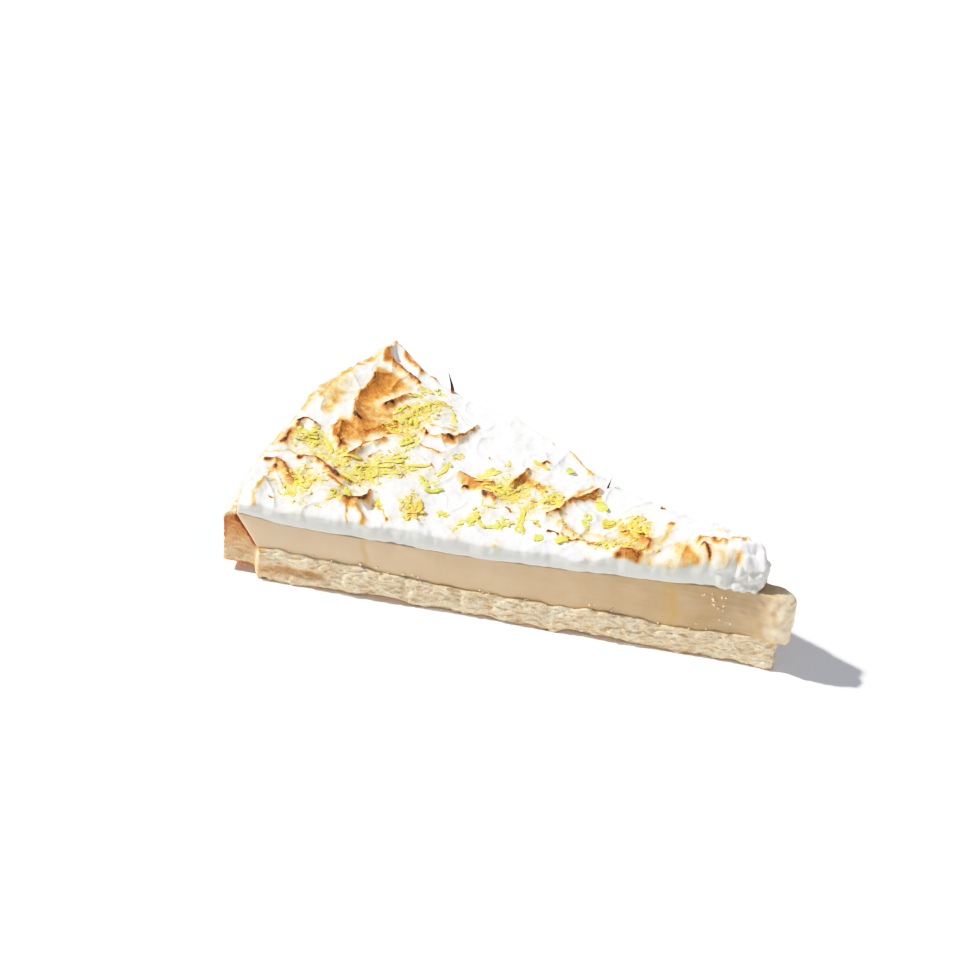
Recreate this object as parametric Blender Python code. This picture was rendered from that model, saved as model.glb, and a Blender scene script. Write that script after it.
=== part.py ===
"""Slice of lemon meringue tart: shortbread crust, lemon filling, torched meringue with citrus zest.

Sizes below are in millimetres; the meshes are made in metres.
The slice points along +X, its rim lies at -X, the front cut faces -Y and the underside is Z = 0.
"""
import math
import random

import bmesh
import bpy
import numpy as np
from mathutils import Vector, geometry, noise

MM = 0.001

# Driving dimensions
TART_RADIUS = 140.0
SLICE_ANGLE = math.radians(36)
CENTRE_X = TART_RADIUS / 2
BASE_THICKNESS = 8.5
RIM_HEIGHT = 18.8
RIM_WIDTH = 3.2
WALL_FOOT_RADIUS = 131.0
WALL_TOP_RADIUS = TART_RADIUS - RIM_WIDTH
FILLING_HEIGHT = 17.6
GAP = 0.4

# Filling surface: it climbs towards the point and creeps up the wall
TIP_CLIMB = 5.6
TIP_CLIMB_START_X = -10.0
TIP_DROOP = 1.5
CREEP_START_RADIUS = 124.0
CREEP_END_RADIUS = 135.0

# Faceting
CRUST_STEP = 1.9
CRUST_ROWS = 6
FILLING_STEP = 4.0
FILLING_ROWS = 3
MERINGUE_STEP = 2.7
MERINGUE_ROWS = 3
SHOULDER = 1.2

# Each layer's outline: where its nose ends on the axis, the nose's half width and its length,
# and how far the two cut faces stand back from the knife planes
CRUST_NOSE = (1.8, 1.3, 2.0)
FILLING_NOSE = (-0.7, 2.3, 2.8)
MERINGUE_NOSE = (8.2, 3.4, 4.5)
WALL_CUT_INSET = 2.2
FILLING_INSET = 0.9
MERINGUE_INSET = 0.8

# Meringue thickness along the front cut, the crown and the back cut, by distance from the point
FRONT_THICKNESS = ((8, 7.5), (16, 8.0), (26, 5.5), (60, 5.0), (100, 5.2), (136, 4.0))
CROWN_THICKNESS = ((8, 9.0), (18, 11.5), (30, 9.0), (45, 6.8), (80, 6.2), (120, 6.4), (136, 4.6))
BACK_THICKNESS = ((8, 8.5), (18, 10.0), (34, 6.5), (48, 5.0), (63, 4.2), (73, 5.8), (84, 7.2),
                  (96, 5.6), (107, 2.4), (118, 1.4), (126, 2.2), (136, 3.6))

# Spooned ridges of the meringue: height at the start and the end, width, lean and path
RIDGES = {
    "corner_curl_outer": (2.6, 1.4, 1.4, 0.0, ((-60.3, 34.2), (-60.1, 38.5), (-56.1, 37.5), (-50.5, 35.3),
        (-46.2, 35.8))),
    "corner_curl_inner": (1.4, 1.2, 1.2, 0.2, ((-60.7, 33.8), (-56.0, 33.3), (-51.7, 31.3), (-48.9, 30.6))),
    "patch_lip": (1.2, 1.6, 1.7, 0.4, ((-58.5, 24.5), (-57.5, 21.9), (-57.5, 14.8), (-54.6, 6.6),
        (-52.2, 3.0))),
    "patch_fold": (1.0, 1.0, 1.2, 0.0, ((-49.0, 12.6), (-48.4, 15.2), (-47.8, 19.0), (-46.9, 22.3))),
    "lower_lip": (1.3, 1.0, 1.4, 0.3, ((-54.0, -0.9), (-54.1, -4.5), (-52.3, -6.8), (-49.7, -9.3))),
    "heap_fold": (1.0, 1.2, 1.3, 0.0, ((-45.6, -12.1), (-45.0, -8.1), (-43.6, -2.2), (-42.0, -0.9))),
    "short_crease": (0.8, 1.0, 1.1, 0.0, ((-36.1, 8.0), (-33.1, 7.2), (-29.6, 8.7), (-25.4, 11.6))),
    "back_crease": (1.1, 1.2, 1.3, 0.2, ((-28.7, 8.9), (-26.6, 10.0), (-25.4, 15.1), (-25.5, 18.7))),
    "eye_curl": (1.0, 1.4, 1.2, 0.0, ((-62.8, -8.5), (-64.0, -5.8), (-63.3, -4.5), (-59.3, -4.7))),
    "left_swirl": (1.2, 1.4, 1.4, 0.2, ((-62.8, -24.1), (-59.4, -23.1), (-56.3, -24.9), (-53.3, -27.5))),
    "left_arc": (1.3, 0.9, 1.6, 0.2, ((-58.5, -31.5), (-58.9, -34.0), (-57.6, -38.2), (-55.3, -41.1))),
    "long_crease": (0.7, 1.3, 1.2, 0.2, ((-60.8, -19.5), (-56.1, -18.7), (-51.4, -17.4), (-45.2, -20.9),
        (-41.6, -21.2))),
    "loop_peak": (1.6, 2.0, 1.3, -0.3, ((-38.3, -28.0), (-35.1, -25.6), (-33.9, -22.4), (-34.4, -21.9))),
    "loop_leg": (1.3, 0.8, 1.3, 0.0, ((-34.9, -28.0), (-32.4, -29.7), (-28.6, -34.0))),
    "middle_lip": (0.9, 1.2, 1.3, 0.2, ((-19.5, -2.5), (-15.3, -2.5), (-10.7, -1.7))),
    "middle_edge": (1.1, 1.2, 1.2, 0.2, ((-16.1, -6.3), (-10.6, -7.3), (-6.5, -8.6))),
    "middle_stroke": (1.2, 0.8, 1.2, 0.2, ((-6.2, -0.5), (-5.6, 2.1), (-5.7, 8.2))),
    "bent_crease": (0.9, 1.5, 1.3, 0.0, ((7.2, -8.4), (9.6, -5.6), (9.4, -0.7), (11.9, 5.9), (13.3, 9.8))),
    "back_ridge": (1.4, 1.0, 1.7, 0.0, ((-5.6, 22.9), (-0.9, 22.3), (2.9, 19.7), (8.6, 15.6))),
    "front_crease": (0.8, 1.0, 1.2, 0.0, ((11.1, -8.5), (16.2, -9.8), (20.7, -11.3), (22.6, -11.2))),
    "tip_crease": (1.0, 1.3, 1.2, 0.2, ((44.7, -2.3), (48.0, -1.7), (51.0, -1.8), (55.1, 2.2))),
    "tip_stroke": (1.3, 0.9, 1.1, 0.0, ((46.3, -3.6), (47.7, -4.2), (48.9, -5.0))),
    "tip_hook": (0.9, 0.9, 1.0, 0.0, ((54.4, -6.1), (54.9, -5.9), (56.2, -7.0))),
}
CREST_SPACING = 2.4
CREST_CLEARANCE = 1.7

# Rounded lumps and hollows of the meringue: place, radius and height
LUMPS = ((29.9, -13.3, 2.6, 1.6), (32.2, -11.4, 2.2, 1.0), (38.5, -10.8, 3.0, 1.0), (43.7, -6.6, 3.2, 1.2),
         (36.4, -2.6, 2.4, 0.8), (34.3, -6.8, 2.6, 0.8), (29.0, -3.4, 2.8, 0.8), (55.9, -4.5, 2.6, 1.0),
         (51.2, -4.4, 2.4, 0.7), (58.3, 1.2, 2.4, 0.9), (17.5, 2.3, 2.6, 0.5), (-32.1, -23.6, 2.3, -1.6),
         (-14.7, -7.2, 2.4, -1.5), (-61.8, -5.8, 2.0, -0.9), (44.5, -4.1, 1.8, -0.8),
         (58.8, -0.5, 1.8, -1.2), (5.6, 17.4, 3.4, -0.7))

# Heaps of zest: place, spread along and across, direction in degrees and how many shreds
ZEST_HEAPS = ((-40.9, 15.0, 7.7, 3.5, 80, 15), (-41.2, 7.0, 4.3, 2.9, 73, 6),
              (-55.5, -10.7, 6.1, 4.2, 8, 8), (-47.8, -14.2, 4.5, 2.9, -13, 4),
              (-36.9, -11.2, 6.6, 3.8, 47, 13), (-39.7, -17.4, 3.7, 3.0, -6, 3),
              (-40.2, -26.6, 4.2, 1.7, 71, 3), (-50.8, -25.8, 4.5, 3.8, 10, 9),
              (-48.9, -32.9, 4.3, 1.9, -55, 2), (-23.0, -21.3, 3.8, 2.2, -65, 7),
              (-35.8, 0.6, 4.6, 1.4, 88, 2), (-29.9, -6.5, 1.6, 1.4, -2, 1),
              (-25.5, -9.9, 2.5, 1.3, -68, 1), (-43.4, 30.0, 2.2, 1.1, 23, 1),
              (-45.9, 24.4, 2.0, 1.2, -86, 1), (-31.0, -23.2, 1.7, 0.8, -45, 1),
              (-23.0, -9.2, 2.2, 1.4, -75, 1), (-5.6, -2.1, 5.1, 4.4, 33, 14),
              (6.1, -1.5, 4.7, 2.9, -64, 7), (2.5, -7.4, 2.3, 2.0, -51, 2), (-8.6, -16.5, 4.4, 1.5, 64, 4),
              (-0.2, -13.7, 3.6, 1.1, 50, 2), (13.5, -9.8, 3.1, 0.8, -15, 1),
              (16.7, -4.9, 2.6, 0.6, -63, 1), (21.3, -1.8, 1.6, 0.9, 47, 1),
              (24.4, -11.1, 1.5, 0.7, -4, 1), (23.1, -16.0, 2.8, 1.2, -39, 1),
              (0.1, -22.8, 2.7, 1.5, 77, 2), (-23.5, 4.5, 1.7, 1.1, 52, 1), (-23.9, -1.9, 1.3, 0.8, 89, 1),
              (28.7, -2.1, 4.3, 2.9, -56, 7), (24.6, -10.5, 1.7, 1.4, -6, 1),
              (28.2, -8.4, 3.2, 2.3, -57, 2), (35.6, -8.1, 1.7, 0.8, 37, 1), (46.5, -6.2, 1.0, 0.5, 18, 1),
              (-9.6, -23.0, 1.7, 1.3, -47, 1), (-15.8, -18.5, 1.4, 0.8, -58, 1),
              (-13.6, 2.7, 1.6, 0.8, 13, 1), (-10.2, 7.0, 1.4, 0.7, -79, 1), (21.3, -1.3, 1.0, 0.7, 58, 1),
              (15.2, 6.1, 2.8, 1.3, -62, 1), (-30.3, 14.6, 3.8, 1.0, -65, 1),
              (-3.7, 11.9, 1.1, 0.8, 19, 1), (3.8, -13.9, 1.5, 1.1, -2, 1))
# Broad flakes: place, length, width and direction in degrees
ZEST_LEAVES = ((8.8, -15.3, 2.6, 3.0, 18), (13.9, -13.2, 3.5, 3.4, 43), (17.3, 2.8, 3.0, 4.2, 57),
               (17.9, 14.0, 4.7, 2.6, -17), (3.1, 14.4, 2.3, 2.6, -34), (38.2, 8.3, 2.0, 1.6, 79),
               (18.4, 13.8, 6.0, 2.6, -29), (12.7, -20.1, 3.3, 2.0, -43))
ZEST_LENGTH = (3.2, 6.2)
ZEST_WIDTH = (1.2, 1.8)
ZEST_STANDS_PROUD = 0.7
ZEST_ROOT_DEPTH = 1.3
ZEST_EDGE_CLEARANCE = 1.9

# Burnt wisps that stand up: place, height, lean along X and Y, and width
WISPS = ((-40.0, 32.6, 6.0, -2.6, 1.0, 1.1), (12.8, 13.2, 3.2, 0.8, 0.9, 0.9), (-35.6, -18.6, 2.6, -0.8, 1.0, 1.0))

CRUST_COLOUR = (0.74, 0.56, 0.36)
FILLING_COLOUR = (0.80, 0.67, 0.42)
MERINGUE_COLOUR = (0.92, 0.91, 0.88)
ZEST_COLOUR = (0.62, 0.60, 0.12)


def clear_scene():
    for thing in list(bpy.context.scene.objects):
        bpy.data.objects.remove(thing, do_unlink=True)


def make_material(name, colour, roughness):
    material = bpy.data.materials.new(name)
    material.use_nodes = True
    shader = material.node_tree.nodes["Principled BSDF"]
    shader.inputs["Base Color"].default_value = (*colour, 1)
    shader.inputs["Roughness"].default_value = roughness
    shader.inputs["Metallic"].default_value = 0.0
    return material


def ease(start, end, value):
    """Goes smoothly from 0 at the start to 1 at the end."""
    t = np.clip((value - start) / (end - start), 0, 1)
    return t * t * (3 - 2 * t)


def profile(stations, value, blur=3.0):
    """Reads a rounded profile through a few stations."""
    places, heights = zip(*stations)
    return sum(np.interp(value + shift, places, heights) for shift in (-blur, 0, blur)) / 3


def lumpy(x, y, z, size, seed):
    """Smooth noise from about -1 to 1, with lumps of about the given size."""
    x, y, z = np.broadcast_arrays(x, y, z)
    spots = zip(x.ravel(), y.ravel(), z.ravel())
    values = [noise.noise(Vector((a / size + seed, b / size, c / size))) for a, b, c in spots]
    return np.array(values).reshape(x.shape) * 1.6


def from_centre(x, y):
    return np.hypot(CENTRE_X - x, y)


# Outlines seen from above

def half_width(radius, inset, nose):
    """Half the slice's width on the arc of a given radius round the tart's centre."""
    nose_end, nose_width, nose_length = nose
    away = np.maximum(radius, 1.0)
    turn = np.maximum(SLICE_ANGLE / 2 - np.arcsin(np.clip(inset / away, -0.9, 0.9)), 0)
    cut = away * np.sin(turn) * (radius > 0)
    rise = np.clip((radius - nose_end) / nose_length, 0, 1)
    rounded = nose_width * np.sqrt(1 - (1 - rise) ** 2)
    return np.maximum(cut, rounded)


def on_arc(radius, across, inset, nose):
    """A point on the arc of a radius; across runs from -1 at the front cut to 1 at the back cut."""
    width = half_width(radius, inset, nose)
    y = across * width
    bend = np.maximum(radius, 12.0)
    return CENTRE_X - radius + bend - np.sqrt(bend * bend - y * y), y


def outline(step, nose, inset_at, rim_radius_at):
    """Corner points anticlockwise from the nose: back cut, rim and front cut."""
    nose_end, _, nose_length = nose
    rounded = nose_end + nose_length * np.array([0, 0.12, 0.4, 1.0])
    cut_count = round((TART_RADIUS - rounded[-1]) / step)
    rim_count = round(2 * TART_RADIUS * math.sin(SLICE_ANGLE / 2) / step)
    back = [*rounded, *np.linspace(rounded[-1], rim_radius_at(1.0), cut_count + 1)[1:]]
    front = [*rounded[1:], *np.linspace(rounded[-1], rim_radius_at(-1.0), cut_count + 1)[1:]]
    stations = [(radius, 1.0) for radius in back]
    stations += [(rim_radius_at(across), across) for across in np.linspace(1, -1, rim_count + 1)[1:-1]]
    stations += [(radius, -1.0) for radius in front[::-1]]
    return np.array([on_arc(radius, across, inset_at(radius, across), nose) for radius, across in stations], float)


def outward(points):
    """Unit normals of an anticlockwise outline."""
    along = np.roll(points, -1, axis=0) - np.roll(points, 1, axis=0)
    normals = np.stack([along[:, 1], -along[:, 0]], axis=1)
    return normals / np.linalg.norm(normals, axis=1, keepdims=True)


def inside_distance(points, loop):
    """Distance from each point to the outline, negative outside it."""
    start, end = loop, np.roll(loop, -1, axis=0)
    edge = end - start
    offset = points[:, None, :] - start[None]
    t = np.clip((offset * edge).sum(2) / (edge * edge).sum(1), 0, 1)
    distance = np.linalg.norm(offset - t[..., None] * edge, axis=2).min(axis=1)
    crossing = (start[:, 1] > points[:, None, 1]) != (end[:, 1] > points[:, None, 1])
    run = np.where(edge[:, 1] == 0, 1e-9, edge[:, 1])
    hit = offset[..., 0] < offset[..., 1] / run * edge[:, 0]
    inside = (crossing & hit).sum(axis=1) % 2 == 1
    return np.where(inside, distance, -distance)


def triangular_grid(loop, step, margin):
    """Evenly spread points inside an outline, at least a margin away from it."""
    low, high = loop.min(axis=0), loop.max(axis=0)
    rows = np.arange(low[1], high[1], step * math.sqrt(3) / 2)
    spots = [(x + step / 2 * (row % 2), y) for row, y in enumerate(rows) for x in np.arange(low[0], high[0], step)]
    spots = np.array(spots)
    return spots[inside_distance(spots, loop) > margin]


# Surfaces

def filling_surface(x, y):
    climb = TIP_CLIMB * (np.clip((x - TIP_CLIMB_START_X) / (CENTRE_X - TIP_CLIMB_START_X), 0, 1)) ** 1.3
    creep = (RIM_HEIGHT - FILLING_HEIGHT) * ease(CREEP_START_RADIUS, CREEP_END_RADIUS, from_centre(x, y))
    droop = TIP_DROOP * ease(CENTRE_X - 3, CENTRE_X + 1, x)
    return FILLING_HEIGHT + climb + creep - droop


def rim_crags(x, y):
    """Height lost by the baked rim; only the bare front part is deeply pitted."""
    bare = 1 - ease(-8, 2, y)
    return (0.25 + 0.65 * bare) * np.clip(lumpy(x, y, 0, 3.6, 11) + 0.4, 0, 1.2)


def crust_surface(x, y):
    """Top of the shortbread: a flat floor, the slanted inner wall and a rounded rim."""
    radius = from_centre(x, y)
    wall = np.interp(radius, (WALL_FOOT_RADIUS, WALL_TOP_RADIUS), (BASE_THICKNESS, RIM_HEIGHT - 0.3))
    middle = WALL_TOP_RADIUS + RIM_WIDTH / 2
    shoulder = np.clip((radius - middle) / (RIM_WIDTH / 2), -1, 1)
    rim = RIM_HEIGHT - 0.3 - 0.9 * np.clip(shoulder, 0, 1) ** 2 - rim_crags(x, y)
    return np.where(radius < WALL_TOP_RADIUS, wall, np.minimum(wall, rim))


def crust_underside(x, y):
    """Flat floor; under the wall the outer edge is rounded and the front corner is broken off."""
    radius = from_centre(x, y)
    from_front = (CENTRE_X - x) * math.sin(SLICE_ANGLE / 2) + y * math.cos(SLICE_ANGLE / 2)
    broken = 2.9 * (1 - ease(5, 12, from_front)) * ease(WALL_FOOT_RADIUS, WALL_FOOT_RADIUS + 1, radius)
    return np.maximum(broken, 1.3 * ease(TART_RADIUS - 2.5, TART_RADIUS, radius))


def ridge_height(x, y, ridge):
    """Height of a spooned ridge, tapering between its ends and leaning to one side."""
    start_height, end_height, width, lean, path = ridge
    lengths = [math.dist(a, b) for a, b in zip(path, path[1:])]
    height = np.zeros(np.shape(x))
    run = 0.0
    for (ax, ay), (bx, by), length in zip(path, path[1:], lengths):
        ux, uy = (bx - ax) / length, (by - ay) / length
        t = np.clip((x - ax) * ux + (y - ay) * uy, 0, length)
        off_x, off_y = x - ax - t * ux, y - ay - t * uy
        side = np.sign(ux * (y - ay) - uy * (x - ax))
        span = width * (1 + lean * side)
        share = (run + t) / sum(lengths)
        crest = start_height + (end_height - start_height) * share
        height = np.maximum(height, crest * np.exp(-(off_x ** 2 + off_y ** 2) / span ** 2))
        run += length
    return height


def meringue_thickness(x, y):
    radius = from_centre(x, y)
    across = np.clip(y / (radius * math.sin(SLICE_ANGLE / 2)), -1, 1)
    edge = np.where(across > 0, profile(BACK_THICKNESS, radius), profile(FRONT_THICKNESS, radius))
    bulge = across ** 2
    thickness = profile(CROWN_THICKNESS, radius) * (1 - bulge) + edge * bulge
    thickness = thickness + 0.9 * lumpy(x, y, 0, 13.0, 3) + 0.5 * lumpy(x, y, 0, 6.0, 7)
    for ridge in RIDGES.values():
        thickness = thickness + ridge_height(x, y, ridge)
    for lump_x, lump_y, size, height in LUMPS:
        thickness = thickness + height * np.exp(-((x - lump_x) ** 2 + (y - lump_y) ** 2) / size ** 2)
    return np.maximum(thickness, 1.2)


def meringue_surface(x, y):
    return filling_surface(x, y) + GAP + meringue_thickness(x, y)


# Bodies built as stacked outlines with a triangulated floor and top

def arcs_inside(loop, radii, step, margin):
    """Points along arcs round the tart's centre, kept clear of the outline."""
    spots = []
    for radius in radii:
        turns = np.linspace(-SLICE_ANGLE / 2, SLICE_ANGLE / 2, round(radius * SLICE_ANGLE / step) + 1)
        spots += [(CENTRE_X - radius * math.cos(turn), radius * math.sin(turn)) for turn in turns]
    spots = np.array(spots).reshape(-1, 2)
    return spots[inside_distance(spots, loop) > margin] if len(spots) else spots


def cap_triangles(loop, inner):
    """Triangles over an outline and the points inside it."""
    corners = [Vector(spot) for spot in np.vstack([loop, inner])]
    edges = [(i, (i + 1) % len(loop)) for i in range(len(loop))]
    _, _, faces, sources, _, _ = geometry.delaunay_2d_cdt(corners, edges, [], 1, 1e-6)
    return [[sources[corner][0] for corner in face] for face in faces]


def stacked_body(name, rings, floor_inner, top_inner, material):
    """Closed body from rings of 3-D points; the first ring bounds the floor and the last one the top."""
    count = len(rings[0])
    mesh_data = bmesh.new()
    corners = [[mesh_data.verts.new(Vector(spot) * MM) for spot in ring] for ring in rings]
    for lower, upper in zip(corners, corners[1:]):
        for i in range(count):
            j = (i + 1) % count
            mesh_data.faces.new((lower[i], lower[j], upper[j], upper[i]))
    for ring, ring_corners, inner in ((rings[0], corners[0], floor_inner), (rings[-1], corners[-1], top_inner)):
        known = ring_corners + [mesh_data.verts.new(Vector(spot) * MM) for spot in inner]
        flat = np.array(ring)[:, :2]
        for triangle in cap_triangles(flat, np.array(inner).reshape(-1, 3)[:, :2]):
            mesh_data.faces.new([known[corner] for corner in triangle])
    bmesh.ops.recalc_face_normals(mesh_data, faces=mesh_data.faces)
    mesh = bpy.data.meshes.new(name)
    mesh_data.to_mesh(mesh)
    mesh_data.free()
    mesh.materials.append(material)
    body = bpy.data.objects.new(name, mesh)
    bpy.context.scene.collection.objects.link(body)
    return body


def lifted(spots, surface):
    """Adds the surface's height to flat points."""
    spots = np.array(spots).reshape(-1, 2)
    return np.column_stack([spots, surface(spots[:, 0], spots[:, 1])])


# The three layers

def crust_inset(radius, across):
    """The rim's wall is cut further back than the craggy base."""
    behind = WALL_CUT_INSET if across < 0 else WALL_CUT_INSET / 3
    return behind * float(ease(WALL_FOOT_RADIUS - 0.6, WALL_FOOT_RADIUS + 0.8, radius))


def crust_crags(loop, height):
    """Outward shift of the broken shortbread at one height; the outer wall is only rough."""
    x, y = loop[:, 0], loop[:, 1]
    radius = from_centre(x, y)
    cut = 1 - ease(TART_RADIUS - 4, TART_RADIUS - 0.5, radius)
    crags = 0.45 * lumpy(x, y, height, 3.2, 21) + 0.4 * lumpy(x, y, height, 9.0, 27)
    undercut = -0.9 * (1 - ease(0, 2.4, height)) * (0.6 + 0.6 * lumpy(x, y, 0, 7.0, 31))
    return np.clip(cut * (crags + np.minimum(undercut, 0)), -1.8, 0.9) + 0.2 * (1 - cut) * crags


def build_crust(material):
    loop = outline(CRUST_STEP, CRUST_NOSE, crust_inset, lambda across: TART_RADIUS)
    normals = outward(loop)
    floor_height = crust_underside(loop[:, 0], loop[:, 1])
    top_height = crust_surface(loop[:, 0], loop[:, 1])
    flare = 0.4 * ease(TART_RADIUS - 1, TART_RADIUS, from_centre(loop[:, 0], loop[:, 1]))
    rings = []
    for level in np.linspace(0, 1, CRUST_ROWS + 1):
        height = floor_height + (top_height - floor_height) * level
        shift = crust_crags(loop, height) - flare * (1 - level)
        spots = loop + normals * shift[:, None]
        rings.append(np.column_stack([spots, height]))
    floor_inner = lifted(arcs_inside(rings[0][:, :2], (WALL_FOOT_RADIUS, 135.5), 4.0, 0.8), crust_underside)
    wall_radii = (WALL_FOOT_RADIUS, 133.0, 135.0, WALL_TOP_RADIUS, WALL_TOP_RADIUS + RIM_WIDTH / 2)
    top_inner = lifted(arcs_inside(rings[-1][:, :2], wall_radii, 2.4, 0.5), crust_surface)
    return stacked_body("crust", rings, floor_inner, top_inner, material)


def filling_rim_radius(height):
    """The filling meets the slanted inner wall."""
    slope = (WALL_TOP_RADIUS - WALL_FOOT_RADIUS) / (RIM_HEIGHT - 0.3 - BASE_THICKNESS)
    return WALL_FOOT_RADIUS + (height - BASE_THICKNESS) * slope - 1.15 * GAP


def build_filling(material):
    floor = BASE_THICKNESS + GAP
    rings = []
    for level in np.linspace(0, 1, FILLING_ROWS + 1):
        rim_radius = filling_rim_radius(floor + (RIM_HEIGHT - 0.3 - floor) * level)
        loop = outline(FILLING_STEP, FILLING_NOSE, lambda radius, across: FILLING_INSET, lambda across: rim_radius)
        height = floor + (filling_surface(loop[:, 0], loop[:, 1]) - floor) * level
        bulge = 0.25 * math.sin(math.pi * level) + 0.2 * lumpy(loop[:, 0], loop[:, 1], height, 14.0, 41)
        nose = 1 - ease(2, 9, from_centre(loop[:, 0], loop[:, 1]))
        bulge = bulge + nose * 0.3 * lumpy(loop[:, 0], loop[:, 1], height, 2.4, 43)
        inner_wall = ease(rim_radius - 1.0, rim_radius, from_centre(loop[:, 0], loop[:, 1]))
        spots = loop + outward(loop) * (bulge * (1 - inner_wall))[:, None]
        rings.append(np.column_stack([spots, height]))
    slopes = arcs_inside(rings[-1][:, :2], (124.0, 127.0, 130.0, 133.0), 8.0, 1.0)
    return stacked_body("filling", rings, [], lifted(slopes, filling_surface), material)


def meringue_rim_radius(across):
    """The meringue stops inside the bare rim at the front and laps over it at the back."""
    return WALL_TOP_RADIUS - 0.5 + 2.4 * float(ease(-0.15, 0.25, across))


def meringue_inset(radius, across):
    """The cut meringue is ragged, and stands further back on the hidden cut."""
    ragged = 0.35 * float(lumpy(radius, across * 9, 0, 6.0, 51))
    return MERINGUE_INSET + ragged + (0.5 if across > 0 else 0.0)


def crest_points(loop):
    """Points along the crests of the ridges, so that their tops keep their height."""
    spots = []
    for _, _, _, _, path in RIDGES.values():
        for a, b in zip(path, path[1:]):
            count = max(1, round(math.dist(a, b) / CREST_SPACING))
            spots += [np.array(a) + (np.array(b) - a) * i / count for i in range(count)]
        spots.append(np.array(path[-1]))
    spots = np.array(spots)
    return spots[inside_distance(spots, loop) > SHOULDER + 0.6]


def build_meringue(material):
    loop = outline(MERINGUE_STEP, MERINGUE_NOSE, meringue_inset, meringue_rim_radius)
    normals = outward(loop)
    floor = filling_surface(loop[:, 0], loop[:, 1]) + GAP
    shoulder_loop = loop - normals * SHOULDER
    edge_thickness = meringue_thickness(shoulder_loop[:, 0], shoulder_loop[:, 1]) * 0.78
    rings = []
    for level in np.linspace(0, 1, MERINGUE_ROWS + 1):
        height = floor + edge_thickness * level
        bulge = 0.45 * math.sin(math.pi * level) + 0.45 * level * lumpy(loop[:, 0], loop[:, 1], height, 4.0, 61)
        spots = loop + normals * (bulge - 0.5 * level)[:, None]
        rings.append(np.column_stack([spots, height]))
    top_loop = rings[-1][:, :2]
    crests = crest_points(loop)
    grid = triangular_grid(top_loop, MERINGUE_STEP, SHOULDER + MERINGUE_STEP * 0.45)
    apart = np.linalg.norm(grid[:, None] - crests[None], axis=2).min(axis=1)
    inner = np.vstack([shoulder_loop[inside_distance(shoulder_loop, top_loop) > 0.5], crests,
                       grid[apart > CREST_CLEARANCE]])
    floor_inner = arcs_inside(rings[0][:, :2], (124.0, 127.0, 130.0, 133.0), 8.0, 1.0)
    floor_surface = lifted(floor_inner, lambda x, y: filling_surface(x, y) + GAP)
    return stacked_body("meringue", rings, floor_surface, lifted(inner, meringue_surface), material), loop


# Zest and burnt wisps, fused to the meringue

def strip(spots, widths, heading, material):
    """A thin bent strip over the meringue, rooted in it: four-sided rings along its length."""
    mesh_data = bmesh.new()
    side = np.array([-math.sin(heading), math.cos(heading)])
    rings = []
    for (x, y), width in zip(spots, widths):
        height = float(meringue_surface(np.array(x), np.array(y)))
        left, right = np.array([x, y]) + side * width / 2, np.array([x, y]) - side * width / 2
        low, high = height - ZEST_ROOT_DEPTH, height + ZEST_STANDS_PROUD
        corners = ((*left, high), (*right, high), (*right, low), (*left, low))
        rings.append([mesh_data.verts.new(Vector(corner) * MM) for corner in corners])
    for first, second in zip(rings, rings[1:]):
        for i in range(4):
            j = (i + 1) % 4
            mesh_data.faces.new((first[i], first[j], second[j], second[i]))
    mesh_data.faces.new(rings[0])
    mesh_data.faces.new(rings[-1])
    return finish_piece(mesh_data, material)


def wisp(place, material):
    """A thin curved point of burnt meringue."""
    x, y, height, lean_x, lean_y, width = place
    base = float(meringue_surface(np.array(x), np.array(y))) - ZEST_ROOT_DEPTH
    mesh_data = bmesh.new()
    rings = []
    for share, size in ((0.0, 1.4), (0.35, 1.0), (0.75, 0.6)):
        centre = (x + lean_x * share ** 2, y + lean_y * share ** 2, base + (height + ZEST_ROOT_DEPTH) * share)
        turns = [math.pi * 2 * i / 5 for i in range(5)]
        ring = [(centre[0] + width * size / 2 * math.cos(t), centre[1] + width * size / 2 * math.sin(t), centre[2])
                for t in turns]
        rings.append([mesh_data.verts.new(Vector(spot) * MM) for spot in ring])
    point = mesh_data.verts.new(Vector((x + lean_x, y + lean_y, base + height + ZEST_ROOT_DEPTH)) * MM)
    for first, second in zip(rings, rings[1:]):
        for i in range(5):
            j = (i + 1) % 5
            mesh_data.faces.new((first[i], first[j], second[j], second[i]))
    for i in range(5):
        mesh_data.faces.new((rings[-1][i], rings[-1][(i + 1) % 5], point))
    mesh_data.faces.new(rings[0])
    return finish_piece(mesh_data, material)


def finish_piece(mesh_data, material):
    bmesh.ops.recalc_face_normals(mesh_data, faces=mesh_data.faces)
    mesh = bpy.data.meshes.new("piece")
    mesh_data.to_mesh(mesh)
    mesh_data.free()
    mesh.materials.append(material)
    return bpy.data.objects.new("piece", mesh)


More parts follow.
